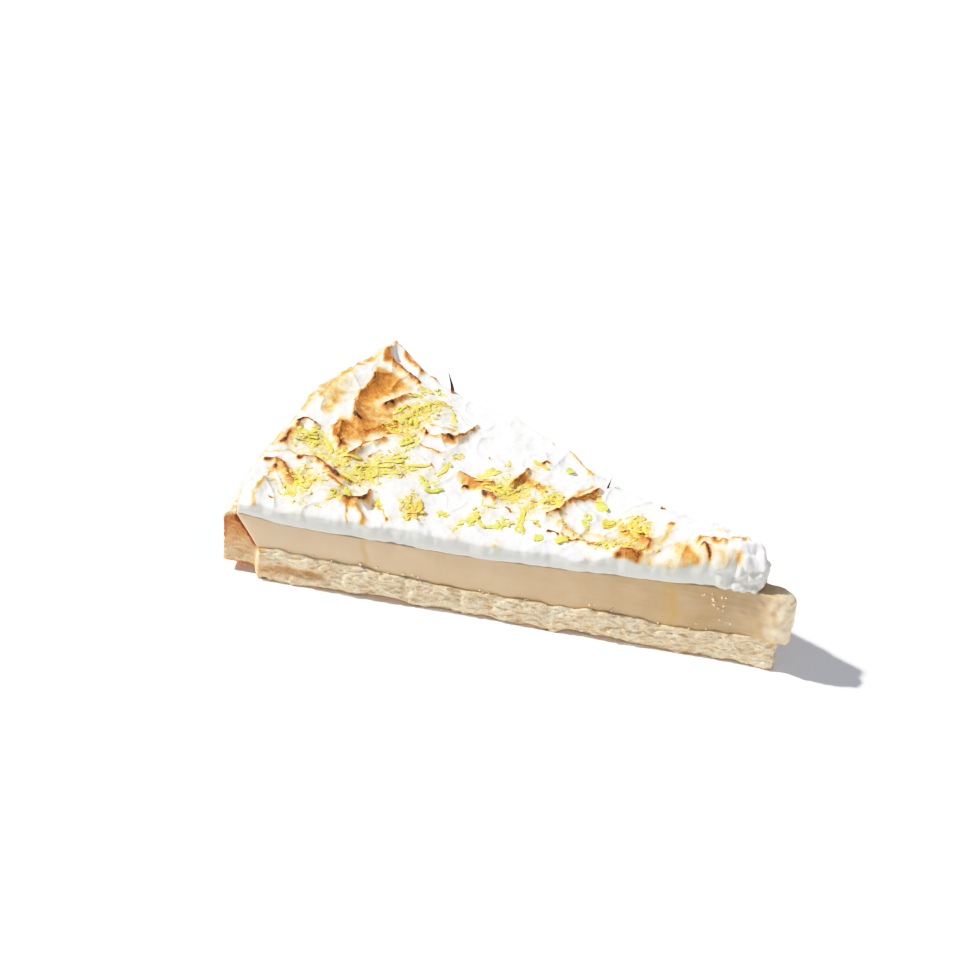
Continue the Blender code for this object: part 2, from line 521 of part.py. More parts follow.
def zest_strips(loop, material):
    """Shreds in their heaps, largest first, and the few broad flakes; all clear of the edges."""
    draw = random.Random(5)
    wanted = []
    for x, y, spread_along, spread_across, direction, count in ZEST_HEAPS:
        turn = math.radians(direction)
        for _ in range(count):
            along, across = draw.gauss(0, 0.55) * spread_along, draw.gauss(0, 0.55) * spread_across
            place = (x + along * math.cos(turn) - across * math.sin(turn),
                     y + along * math.sin(turn) + across * math.cos(turn))
            heading = turn + math.radians(draw.gauss(0, 35))
            wanted.append((draw.uniform(*ZEST_LENGTH), draw.uniform(*ZEST_WIDTH), heading, place, draw.gauss(0, 0.5)))
    wanted += [(length, width, math.radians(turn), (x, y), 0.0) for x, y, length, width, turn in ZEST_LEAVES]
    wanted.sort(key=lambda shred: -shred[0])
    pieces = []
    for length, width, heading, place, bend in wanted:
        along = np.array([math.cos(heading), math.sin(heading)])
        aside = np.array([-math.sin(heading), math.cos(heading)])
        shares = (-0.5, -0.17, 0.17, 0.5)
        spots = np.array([place + along * length * share + aside * bend * (1 - 4 * share ** 2) for share in shares])
        if inside_distance(spots, loop).min() < ZEST_EDGE_CLEARANCE:
            continue
        widths = [width * size for size in (0.55, 1.0, 0.95, 0.5)]
        pieces.append(strip(spots, widths, heading, material))
    return pieces


def fuse(body, pieces):
    """One Boolean union joins the small pieces to the body, and they are then removed."""
    group = bpy.data.collections.new("toppings")
    bpy.context.scene.collection.children.link(group)
    for piece in pieces:
        group.objects.link(piece)
    union = body.modifiers.new("fuse", "BOOLEAN")
    union.operation = "UNION"
    union.operand_type = "COLLECTION"
    union.collection = group
    union.solver = "MANIFOLD"
    union.material_mode = "TRANSFER"
    bpy.context.view_layer.objects.active = body
    bpy.ops.object.modifier_apply(modifier=union.name)
    for piece in pieces:
        bpy.data.objects.remove(piece, do_unlink=True)
    bpy.data.collections.remove(group)


def shade(body):
    body.data.shade_smooth()
    body.data.set_sharp_from_angle(angle=math.radians(50))


def main():
    clear_scene()
    crust = build_crust(make_material("shortbread", CRUST_COLOUR, 0.85))
    filling = build_filling(make_material("lemon_filling", FILLING_COLOUR, 0.4))
    meringue_material = make_material("meringue", MERINGUE_COLOUR, 0.7)
    zest_material = make_material("zest", ZEST_COLOUR, 0.5)
    meringue, loop = build_meringue(meringue_material)
    toppings = zest_strips(loop, zest_material)
    toppings += [wisp(place, meringue_material) for place in WISPS]
    fuse(meringue, toppings)
    for body in (crust, filling, meringue):
        shade(body)


main()
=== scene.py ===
"""Looks of a slice of lemon meringue tart: crumbly crust, lemon filling, torched meringue and zest.

Sizes below are in millimetres; the meshes are made in metres.
The slice points along +X, its rim lies at -X, the front cut faces -Y and the underside is Z = 0.
"""

import math
import random

import bpy
import numpy as np
from mathutils import Matrix, Vector, geometry, noise


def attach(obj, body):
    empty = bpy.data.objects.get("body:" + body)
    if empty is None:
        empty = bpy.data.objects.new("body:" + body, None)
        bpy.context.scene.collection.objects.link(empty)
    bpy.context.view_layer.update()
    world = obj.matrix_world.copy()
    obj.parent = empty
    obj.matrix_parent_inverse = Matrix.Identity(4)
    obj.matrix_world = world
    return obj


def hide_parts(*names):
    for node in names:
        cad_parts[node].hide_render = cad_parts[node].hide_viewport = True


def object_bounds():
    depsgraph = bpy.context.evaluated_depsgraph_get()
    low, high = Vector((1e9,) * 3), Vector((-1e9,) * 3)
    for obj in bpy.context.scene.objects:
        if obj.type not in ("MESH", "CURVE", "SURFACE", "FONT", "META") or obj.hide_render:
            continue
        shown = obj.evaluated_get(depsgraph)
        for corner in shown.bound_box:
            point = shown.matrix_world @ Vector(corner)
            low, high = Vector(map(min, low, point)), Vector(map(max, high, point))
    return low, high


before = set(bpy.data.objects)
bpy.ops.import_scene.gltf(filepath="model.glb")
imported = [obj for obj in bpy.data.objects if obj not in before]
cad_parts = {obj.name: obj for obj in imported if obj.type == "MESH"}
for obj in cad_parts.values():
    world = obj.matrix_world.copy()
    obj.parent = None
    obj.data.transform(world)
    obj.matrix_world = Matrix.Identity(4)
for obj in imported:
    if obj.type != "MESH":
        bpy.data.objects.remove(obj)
cad_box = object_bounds()

MM = 0.001

# Driving dimensions, as in the part
TART_RADIUS = 140.0
SLICE_ANGLE = math.radians(36)
HALF_ANGLE = SLICE_ANGLE / 2
HALF_SIN = math.sin(HALF_ANGLE)
HALF_COS = math.cos(HALF_ANGLE)
CENTRE_X = TART_RADIUS / 2
BASE_THICKNESS = 8.5
RIM_HEIGHT = 18.8
WALL_TOP_HEIGHT = RIM_HEIGHT - 0.3
RIM_WIDTH = 3.2
WALL_FOOT_RADIUS = 131.0
WALL_TOP_RADIUS = TART_RADIUS - RIM_WIDTH
FILLING_HEIGHT = 17.6
GAP = 0.15
TIP_CLIMB = 5.6
TIP_CLIMB_START_X = -10.0
TIP_DROOP = 1.5
CREEP_START_RADIUS = 124.0
CREEP_END_RADIUS = 135.0
CRUST_NOSE = (1.8, 1.3, 2.0)
FILLING_NOSE = (-0.7, 2.3, 2.8)
MERINGUE_NOSE = (8.2, 3.4, 4.5)
WALL_CUT_INSET = 2.2
FILLING_INSET = 0.9
MERINGUE_INSET = 0.8

# Fineness of the meshes
CRUST_STEP = 0.34
FILLING_STEP = 0.5
MERINGUE_STEP = 0.29
WALL_STEP = 0.36
MERINGUE_LEVELS = 10

# Rounded upper edge of the meringue: its width and the share of the height below it
SHOULDER = 1.5
SHOULDER_START = 0.8
SHOULDER_STEPS = 6

# Meringue thickness along the front cut, the crown and the back cut, by distance from the point
FRONT_THICKNESS = ((8, 7.5), (16, 8), (26, 5.5), (60, 5), (100, 5.2), (136, 4))
CROWN_THICKNESS = ((8, 9), (18, 11.5), (30, 9), (45, 6.8), (80, 6.2), (120, 6.4), (136, 4.6))
BACK_THICKNESS = (
    (8, 8.5), (18, 10), (34, 6.5), (48, 5), (63, 4.2), (73, 5.8), (84, 7.2), (96, 5.6), (107, 2.4),
    (118, 1.4), (126, 2.2), (136, 3.6),
)

# Height of the base's top along the cuts, by distance from the point
BASE_TOP = (
    (5, 9.5), (16, 8.4), (28, 7.2), (43, 8.8), (54, 7.6), (86, 7.6), (95, 8.1), (114, 9.1), (129, 9.5),
)

# Groove in the cut shortbread near the rim: where it starts, its height and the height of its tint
NOTCH_START = 111.0
NOTCH_HEIGHT = 4.4
NOTCH_TINT_HEIGHT = 4.2

# Arcs broken out of the base's lower edge: distance from the point, half length and height
UNDER_ARCS = (
    (113.5, 5.5, 0.8), (98.5, 8.5, 1.7), (85, 3.5, 0.6), (72.7, 3.4, 1), (61.5, 4, 1.1), (51.8, 3.6, 1.2),
    (42.5, 5, 1.5), (32.5, 4, 0.8), (12, 2.5, 0.6),
)

# Spooned ridges of the meringue: height at the start and the end, width, lean and path
RIDGES = {
    "corner_curl_outer": (2.6, 1.4, 1.4, 0, ((-60.3, 34.2), (-60.1, 38.5), (-56.1, 37.5),
        (-50.5, 35.3), (-46.2, 35.8))),
    "corner_curl_inner": (1.4, 1.2, 1.2, 0.2, ((-60.7, 33.8), (-56, 33.3), (-51.7, 31.3), (-48.9, 30.6))),
    "patch_lip": (1.2, 1.6, 1.7, 0.4, ((-58.5, 24.5), (-57.5, 21.9), (-57.5, 14.8), (-54.6, 6.6),
        (-52.2, 3))),
    "patch_fold": (1, 1, 1.2, 0, ((-49, 12.6), (-48.4, 15.2), (-47.8, 19), (-46.9, 22.3))),
    "lower_lip": (1.3, 1, 1.4, 0.3, ((-54, -0.9), (-54.1, -4.5), (-52.3, -6.8), (-49.7, -9.3))),
    "heap_fold": (1, 1.2, 1.3, 0, ((-45.6, -12.1), (-45, -8.1), (-43.6, -2.2), (-42, -0.9))),
    "short_crease": (0.8, 1, 1.1, 0, ((-36.1, 8), (-33.1, 7.2), (-29.6, 8.7), (-25.4, 11.6))),
    "back_crease": (1.1, 1.2, 1.3, 0.2, ((-28.7, 8.9), (-26.6, 10), (-25.4, 15.1), (-25.5, 18.7))),
    "eye_curl": (1, 1.4, 1.2, 0, ((-62.8, -8.5), (-64, -5.8), (-63.3, -4.5), (-59.3, -4.7))),
    "left_swirl": (1.2, 1.4, 1.4, 0.2, ((-62.8, -24.1), (-59.4, -23.1), (-56.3, -24.9), (-53.3, -27.5))),
    "left_arc": (1.3, 0.9, 1.6, 0.2, ((-58.5, -31.5), (-58.9, -34), (-57.6, -38.2), (-55.3, -41.1))),
    "long_crease": (0.7, 1.3, 1.2, 0.2, ((-60.8, -19.5), (-56.1, -18.7), (-51.4, -17.4),
        (-45.2, -20.9), (-41.6, -21.2))),
    "loop_peak": (1.6, 2, 1.3, -0.3, ((-38.3, -28), (-35.1, -25.6), (-33.9, -22.4), (-34.4, -21.9))),
    "loop_leg": (1.3, 0.8, 1.3, 0, ((-34.9, -28), (-32.4, -29.7), (-28.6, -34))),
    "middle_lip": (0.9, 1.2, 1.3, 0.2, ((-19.5, -2.5), (-15.3, -2.5), (-10.7, -1.7))),
    "middle_edge": (1.1, 1.2, 1.2, 0.2, ((-16.1, -6.3), (-10.6, -7.3), (-6.5, -8.6))),
    "middle_stroke": (1.2, 0.8, 1.2, 0.2, ((-6.2, -0.5), (-5.6, 2.1), (-5.7, 8.2))),
    "bent_crease": (0.9, 1.5, 1.3, 0, ((7.2, -8.4), (9.6, -5.6), (9.4, -0.7), (11.9, 5.9), (13.3, 9.8))),
    "back_ridge": (1.4, 1, 1.7, 0, ((-5.6, 22.9), (-0.9, 22.3), (2.9, 19.7), (8.6, 15.6))),
    "front_crease": (0.8, 1, 1.2, 0, ((11.1, -8.5), (16.2, -9.8), (20.7, -11.3), (22.6, -11.2))),
    "tip_crease": (1, 1.3, 1.2, 0.2, ((44.7, -2.3), (48, -1.7), (51, -1.8), (55.1, 2.2))),
    "tip_stroke": (1.3, 0.9, 1.1, 0, ((46.3, -3.6), (47.7, -4.2), (48.9, -5))),
    "tip_hook": (0.9, 0.9, 1, 0, ((54.4, -6.1), (54.9, -5.9), (56.2, -7))),
}

# Rounded lumps and hollows of the meringue: place, radius and height
LUMPS = (
    (29.9, -13.3, 2.6, 1.6), (32.2, -11.4, 2.2, 1), (38.5, -10.8, 3, 1), (43.7, -6.6, 3.2, 1.2),
    (36.4, -2.6, 2.4, 0.8), (34.3, -6.8, 2.6, 0.8), (29, -3.4, 2.8, 0.8), (55.9, -4.5, 2.6, 1),
    (51.2, -4.4, 2.4, 0.7), (58.3, 1.2, 2.4, 0.9), (17.5, 2.3, 2.6, 0.5), (-32.1, -23.6, 2.3, -1.6),
    (-14.7, -7.2, 2.4, -1.5), (-61.8, -5.8, 2, -0.9), (44.5, -4.1, 1.8, -0.8), (58.8, -0.5, 1.8, -1.2),
    (5.6, 17.4, 3.4, -0.7),
)

# Juice that has run down the front cut: distance from the point, half width and strength
DRIPS = ((28.4, 1, 0.9), (30.2, 0.7, 0.5), (104.6, 0.7, 0.7), (86, 0.35, 0.25), (84.5, 0.3, 0.25))

# Share of a torch mark's line width and of its field's depth that is painted
LINE_SHARE = 0.8
FIELD_SHARE = 0.85

# Torch marks: burnt line's darkness and width, then the toasted field's depth and how far it spreads
# to the left and to the right of the path
TORCH = (
    # Curl at the back corner
    (0.5, 0.8, 0.3, 0.9, 0.9, ((-60, 33.7), (-60.9, 37.5), (-59.9, 38.2), (-59.4, 40.6))),
    (0.66, 0.6, 0.4, 0.8, 0.8, ((-59.4, 40.6), (-56, 37.3), (-53.8, 36.3), (-50.4, 35.1))),
    (0.8, 0.7, 0.45, 0.9, 0.9, ((-50.4, 35.1), (-48.6, 37.1), (-46.1, 35.6))),
    (0.64, 0.8, 0.52, 1, 1, ((-60.4, 33.2), (-58.4, 33.2), (-55.9, 33.1))),
    (0.84, 0.8, 0.55, 0.9, 1.2, ((-55.9, 33.1), (-52.8, 31.7), (-50.2, 30.8), (-48.8, 30.4))),
    (0.42, 0.7, 0.2, 1, 1, ((-59.8, 34), (-59.7, 34.2))),
    # Large toasted patch with its dark lip
    (0.86, 0.55, 0.62, 4.2, 0.5, ((-58.5, 24.5), (-57.5, 21.9), (-57.9, 19.5))),
    (0.7, 0.5, 0.56, 4.6, 0.4, ((-57.9, 19.5), (-57.5, 14.8), (-56.6, 11.2), (-53.9, 5.1), (-52.5, 3.2))),
    (0, 1, 0.4, 2.2, 2.2, ((-57.6, 25), (-55.5, 28), (-54.1, 27.5))),
    (0, 1, 0.42, 3, 3, ((-55.7, 19.6), (-54.4, 23.8), (-50.7, 25.8))),
    (0, 1, 0.36, 2.2, 3.4, ((-55.4, 14.8), (-54.8, 18.1), (-52.7, 20.7))),
    (1.12, 0.75, 0.3, 1, 1, ((-52.9, 3.2), (-52, 2.7), (-50.8, 2.8))),
    (1.06, 0.8, 0.45, 1.4, 1.2, ((-49, 12.5), (-48.6, 13.7), (-48.3, 15.1))),
    (0.68, 0.55, 0.42, 1.3, 1.1, ((-48.3, 15.1), (-47.7, 18.9), (-46.8, 22))),
    (0.92, 0.45, 0.2, 0.9, 0.9, ((-44.4, 16.4), (-44, 16.3))),
    (0.5, 0.5, 0.32, 1.2, 1.2, ((-48.6, 8.9), (-47.3, 9.2), (-46.3, 10))),
    (0, 1, 0.22, 3, 3, ((-51.2, 9.1), (-48.7, 11), (-46.1, 12.8))),
    (0, 1, 0.1, 5, 5, ((-47.4, 14.9), (-41.1, 16.6), (-39.2, 19.6))),
    (0, 1, 0.12, 4.5, 4.5, ((-51.4, -1.5), (-46, 1), (-41, 5.8))),
    # Lower toasted field
    (1.06, 0.5, 0.5, 1.6, 0.4, ((-53.9, -1), (-55.4, -1.1))),
    (0.72, 0.6, 0.6, 3, 0.4, ((-55.4, -1.1), (-54.1, -4.6), (-52.3, -6.9))),
    (0.98, 0.6, 0.45, 1.4, 0.9, ((-52.3, -6.9), (-50.5, -7.8), (-49.6, -9.5))),
    (0, 1, 0.44, 2, 2, ((-53.3, -1.7), (-51.1, -1.2), (-49.3, -2.4))),
    (0.72, 0.5, 0.42, 1.4, 1.4, ((-48.3, 0.3), (-46.5, 1.9), (-45.1, 3.7))),
    (0.86, 0.5, 0.35, 1.2, 1, ((-45.5, -12.3), (-45.2, -10.8), (-44.9, -8.4), (-45.7, -2.9))),
    (0.84, 0.65, 0.4, 1.2, 1.2, ((-45.1, -2.5), (-43.4, -2.2), (-42, -1))),
    (0.76, 0.4, 0.22, 0.9, 0.9, ((-41.9, -8.6), (-41.2, -6.6), (-40.5, -5.2))),
    (0.86, 0.4, 0.2, 0.9, 0.9, ((-42.9, 2.9), (-40.6, 3.2), (-39.1, 3.3))),
    (0.95, 0.5, 0.3, 1, 1, ((-43.5, 8.3), (-43.1, 8.1))),
    (0, 1, 0.3, 3, 3, ((-50.8, 2.1), (-47.6, 4.7), (-43.8, 6.4))),
    # Thin creases to the right of the patch
    (1.05, 0.42, 0.2, 1, 1, ((-36.5, 10.2), (-34.1, 6.8))),
    (0.52, 0.34, 0.18, 0.9, 1.2, ((-35.9, 7.7), (-33, 7.1), (-31.3, 7.7), (-29.5, 8.5))),
    (0.7, 0.4, 0.2, 0.9, 1.2, ((-30.6, 7.9), (-28.8, 8.6))),
    (1.12, 0.55, 0.4, 0.6, 1.4, ((-28.6, 8.6), (-28.1, 9), (-27.5, 8.9))),
    (0.76, 0.36, 0.3, 0.5, 1.2, ((-27.7, 9.2), (-26.4, 9.7), (-25.7, 12.8), (-25.3, 15), (-25.4, 18.6))),
    (0.66, 0.36, 0.2, 0.6, 1.2, ((-33.5, 2.4), (-31.4, 2.1), (-29.5, 2.3), (-28, 2.4))),
    (0.34, 0.4, 0.15, 0.8, 1, ((-29.4, 1.8), (-28.3, 2.2), (-27.3, 3.2))),
    (0.84, 0.42, 0.12, 0.9, 0.9, ((-27.4, -3), (-26.1, -4.4))),
    # Long crease towards the front left
    (0.4, 0.36, 0.18, 1, 0.8, ((-64.8, -19.3), (-60.8, -19.6), (-59.5, -16.8), (-57.5, -17.4))),
    (0.92, 0.42, 0.2, 1, 0.8, ((-56.3, -18.9), (-54.1, -18.3), (-52.6, -17.1))),
    (1.1, 0.6, 0.3, 1, 1, ((-52.4, -17.2), (-51.1, -17.5))),
    (0.76, 0.55, 0.42, 0.9, 1, ((-50.7, -17.6), (-49, -18.8), (-47.4, -19.8))),
    (0.96, 0.5, 0.36, 1, 1, ((-47.4, -19.8), (-45.2, -21), (-43.8, -21.2))),
    (0.62, 0.4, 0.3, 1.4, 0.8, ((-43.8, -21.2), (-41.5, -21.3), (-40.1, -19.6))),
    (0.8, 0.5, 0.3, 0.9, 0.9, ((-45.9, -21.9), (-43.7, -22.4), (-41.3, -23.6))),
    # Curl with an eye, and the burnt rim beside it
    (1.14, 0.55, 0.18, 0.8, 1, ((-63.8, -6.2), (-63.2, -4.6), (-61.6, -3.5), (-59.2, -4.9))),
    (0.56, 0.55, 0.34, 1, 0.9, ((-63.9, -5.5), (-63.1, -8.1), (-62.3, -8.8))),
    (0.94, 1, 0.55, 1.6, 1.2, ((-63.5, -10.8), (-62.8, -13.4), (-62.7, -15.5))),
    (0.42, 0.8, 0.3, 1.2, 1.2, ((-65.3, -12.9), (-65.2, -15), (-64.9, -16.9))),
    # Pale toasted patch along the rim
    (0, 1, 0.26, 3.6, 3.2, ((-63.8, 18), (-62.7, 11.9), (-60.9, 4.6))),
    (0.36, 0.8, 0.22, 1.6, 1.6, ((-62.3, 11.4), (-60.5, 5.4), (-60.5, 1.9))),
    (0.4, 0.7, 0.26, 1.4, 1, ((-65.7, 20.3), (-65.9, 16.4), (-65.6, 11.8), (-65.1, 7.7))),
    (0.46, 0.5, 0.2, 1, 0.8, ((-64.3, 24.3), (-65, 21.2), (-65.8, 20.6))),
    (0.6, 0.6, 0.15, 1, 0.8, ((-64.5, 32.9), (-64.5, 32))),
    (0.4, 0.8, 0.28, 1.6, 1, ((-66.5, 5.2), (-66.8, 2.8), (-66, -0.8))),
    # Swirl and pale arc at the front left
    (0.9, 0.42, 0.24, 0.8, 0.8, ((-62.7, -24.3), (-61.1, -23.7), (-59.3, -23.2))),
    (0.72, 0.75, 0.45, 1.3, 1.5, ((-59.3, -23.1), (-58.3, -22.5), (-56.2, -25.1), (-54.5, -26.8),
        (-53.2, -27.7))),
    (0.96, 0.8, 0.3, 1.2, 1.2, ((-59.6, -25.3), (-59, -24.9))),
    (0.42, 0.5, 0.2, 1, 1, ((-59.6, -25.9), (-59.5, -27.5), (-58.8, -29.4))),
    (0.36, 0.8, 0.16, 1.2, 1, ((-58.4, -31.8), (-58.9, -34), (-58.4, -36.4), (-56.9, -39.4),
        (-55.3, -41.1))),
    (0.8, 0.55, 0.2, 0.9, 0.9, ((-54.7, -35.4), (-53.5, -35.8))),
    # Looped peak and its legs
    (0.92, 0.55, 0.36, 0.7, 1, ((-38.2, -28.2), (-36.4, -27.4), (-35, -25.9), (-34.3, -24.1))),
    (0.86, 0.6, 0.3, 0.8, 0.8, ((-34.3, -24.1), (-33.9, -22.4), (-34.5, -21.8))),
    (0.5, 0.36, 0.28, 0.7, 0.7, ((-37.2, -28), (-36.5, -29.9), (-34.4, -33))),
    (0.5, 0.85, 0.3, 1.2, 1.2, ((-34.8, -28.1), (-32.4, -29.7), (-28.5, -34.2))),
    (0.52, 0.36, 0.14, 0.9, 0.9, ((-32.8, -23.3), (-31.2, -23.2), (-27.8, -26.5), (-25.8, -27.9))),
    (0.84, 0.5, 0.2, 0.9, 0.9, ((-26, -27.8), (-25.2, -28.4))),
    (0, 1, 0.34, 1.2, 1.2, ((-36.9, -28.4), (-34.7, -28.3))),
    # Middle field
    (0.72, 0.42, 0.36, 0.5, 1.8, ((-19.4, -2.7), (-17.5, -2.8), (-15.2, -2.6), (-13.1, -2.3),
        (-10.6, -1.9))),
    (0, 1, 0.42, 1.6, 1.6, ((-15.8, -3.7), (-12.4, -3.9), (-8.5, -4.5))),
    (1.1, 0.6, 0.3, 0.9, 0.9, ((-16.4, -6.4), (-15.7, -5.3))),
    (1.04, 0.65, 0.45, 1, 0.7, ((-10.6, -7.5), (-9, -8.2))),
    (0.72, 0.6, 0.4, 1.2, 0.8, ((-9, -8.2), (-7.7, -8.3), (-6.5, -8.7))),
    (0.72, 0.38, 0.3, 0.4, 2.6, ((-6.2, -0.6), (-5.6, 2), (-5.5, 5.3), (-5.6, 8.1))),
    (0, 1, 0.34, 2, 1.8, ((-4.6, 3.6), (-2.7, 4.3), (-0.5, 3.3))),
    (0.92, 0.42, 0.2, 0.9, 0.9, ((-3, -9.4), (-1.9, -9.4), (-0.9, -10))),
    (0.94, 0.42, 0.25, 0.9, 0.9, ((7.3, -8.5), (8.6, -7), (9.6, -5.7))),
    (0.7, 0.42, 0.28, 0.9, 0.9, ((9.6, -5.7), (9.6, -4.3), (9.1, -2.1))),
    (0.62, 0.5, 0.25, 1.2, 1, ((1.2, -4.9), (2.7, -3.3), (4.4, -3.1))),
    (0.45, 0.9, 0.28, 1.4, 1.4, ((-0.2, 2.7), (1.2, 3.8))),
    (0.72, 0.5, 0.36, 1, 0.6, ((9.5, -0.8), (10.8, 2.2), (12, 5.7), (13.1, 8.5))),
    (0.46, 0.5, 0.38, 1, 1, ((9.4, 3.8), (10.3, 8.2), (11, 10.7))),
    (0.98, 0.5, 0.36, 1, 1, ((13.2, 7.6), (13.5, 9.1))),
    (0.66, 0.4, 0.3, 0.9, 0.6, ((9.9, -0.4), (12.2, 4.2), (13.9, 7.4))),
    (1, 0.42, 0.22, 0.9, 0.9, ((-3.7, 12), (-3.3, 13.2), (-2.2, 13.4))),
    (0.42, 0.6, 0.2, 0.9, 0.9, ((-4.6, 11.3), (-4, 11.7))),
    (0.86, 0.42, 0.1, 0.8, 0.8, ((-16.4, 8), (-15.7, 7.4))),
    (0.94, 0.36, 0.1, 0.7, 0.7, ((5.5, -11.4), (6.3, -11.7))),
    (1.14, 0.36, 0.1, 0.7, 0.7, ((9.7, -12), (10.7, -11.7), (12.4, -12.5))),
    # Front crease
    (0.9, 0.38, 0.24, 1.2, 0.7, ((15.3, -12.3), (17.7, -11.4), (19.1, -11.2))),
    (0.7, 0.38, 0.26, 1.4, 0.7, ((19.1, -11.2), (20.7, -11.4), (22.7, -11.3))),
    (0.36, 0.7, 0.25, 1.2, 1.2, ((11.1, -8.5), (13.8, -9.4), (16.3, -9.9))),
    (0, 1, 0.26, 2, 2, ((18, -7.7), (21.1, -7.6), (24.7, -8.6))),
    # Burnt blob and the toasted patches behind the tip
    (0.9, 1, 0.35, 1.5, 1.2, ((28.6, -12.7), (31, -13))),
    (0.84, 0.45, 0.5, 1, 1.4, ((28.9, -11.8), (31.1, -11.4), (33.2, -10.4))),
    (0.74, 0.6, 0.45, 1.2, 0.8, ((31, -14), (32.2, -12.5), (33.3, -10.6))),
    (0.7, 0.4, 0.2, 0.9, 0.9, ((32.9, -13.2), (35.2, -13.4))),
    (0.84, 0.55, 0.4, 1.1, 1.1, ((33, -5.9), (34.1, -6.4), (33.9, -7.7))),
    (1, 0.5, 0.3, 1.1, 1.1, ((27.6, -3), (28.1, -3.3))),
    (0, 1, 0.4, 2.4, 2.4, ((26.4, -3.1), (29.2, -3.9), (32.1, -5.6))),
    (0, 1, 0.3, 2.2, 2.2, ((31.3, -6.6), (30.3, -8.5), (28.6, -9.1))),
    (0.34, 1, 0.28, 1.3, 1.3, ((36.1, -5), (36.5, -2.8), (36.1, 1.3))),
    (0.72, 0.5, 0.2, 0.8, 0.8, ((35.7, 1.8), (36.3, 1.7))),
    (0.24, 1.2, 0.28, 2.4, 2.4, ((40.5, -4.3), (41.7, -3.7), (43.4, -5))),
    (0.24, 1.2, 0.27, 2.4, 2.4, ((43.9, -6.2), (45, -7.1), (45, -8))),
    (0.34, 0.5, 0.16, 1.6, 1.6, ((41.3, -5), (41.6, -7.1))),
    (0.36, 0.5, 0.16, 1.6, 1.6, ((45, -6), (46.6, -6.2))),
    (0.26, 1.2, 0.3, 1.8, 1.8, ((36.1, -10.2), (38.2, -12.1), (40.4, -9.4))),
    (0.5, 0.5, 0.25, 1, 1, ((39.4, -13), (41.2, -12.3))),
    (0.46, 0.6, 0.25, 1.1, 1.1, ((43.4, -10.2), (44.9, -8.9))),
    # Tip
    (0.66, 0.45, 0.35, 0.9, 0.7, ((44.7, -2.3), (46.8, -1.9), (48, -1.8))),
    (0.96, 0.5, 0.3, 0.9, 0.7, ((47.7, -1.8), (48.4, -1.8))),
    (0.62, 0.55, 0.4, 0.9, 0.8, ((48.4, -1.8), (49.9, -2), (51, -1.9))),
    (0.48, 0.45, 0.28, 0.8, 0.8, ((51.5, -1.3), (53.4, 0.1), (55.1, 1.9))),
    (1, 0.48, 0.28, 0.9, 0.7, ((46.3, -3.7), (47.8, -4.3), (48.9, -5))),
    (0.28, 1.2, 0.24, 1.6, 1.6, ((49.2, -4.1), (51.1, -4.2), (53, -4.7))),
    (0.46, 0.9, 0.4, 1.2, 1.2, ((55.6, -3.5), (56.6, -4.7))),
    (1.1, 0.38, 0.2, 0.7, 0.7, ((54.4, -6.2), (54.9, -6), (55.7, -6.2), (56.3, -7.1))),
    (0.24, 0.7, 0.12, 1, 1, ((46.7, 2.8), (49.2, 2.1))),
    # Back edge
    (0.5, 0.34, 0.2, 0.7, 0.7, ((-35.6, 12.1), (-34, 11.1), (-31.7, 11), (-30.1, 12.6), (-28.8, 13.4))),
    (1.04, 0.5, 0.3, 0.9, 0.9, ((-5.5, 22.8), (-5.5, 24.4), (-5, 24.8))),
    (0.66, 0.8, 0.34, 1.1, 1.1, ((-4.3, 24.9), (-2.2, 24.1), (0.4, 21.2))),
    (0.46, 0.9, 0.26, 1.2, 1.2, ((0.4, 21.2), (2.9, 19.7), (5.7, 18.5), (8.6, 15.6))),
    (1.02, 0.34, 0.1, 0.7, 0.7, ((23, 16.8), (24.7, 14.4))),
    (1.12, 0.42, 0.12, 0.7, 0.7, ((29, 12.2), (31.3, 8.6))),
)

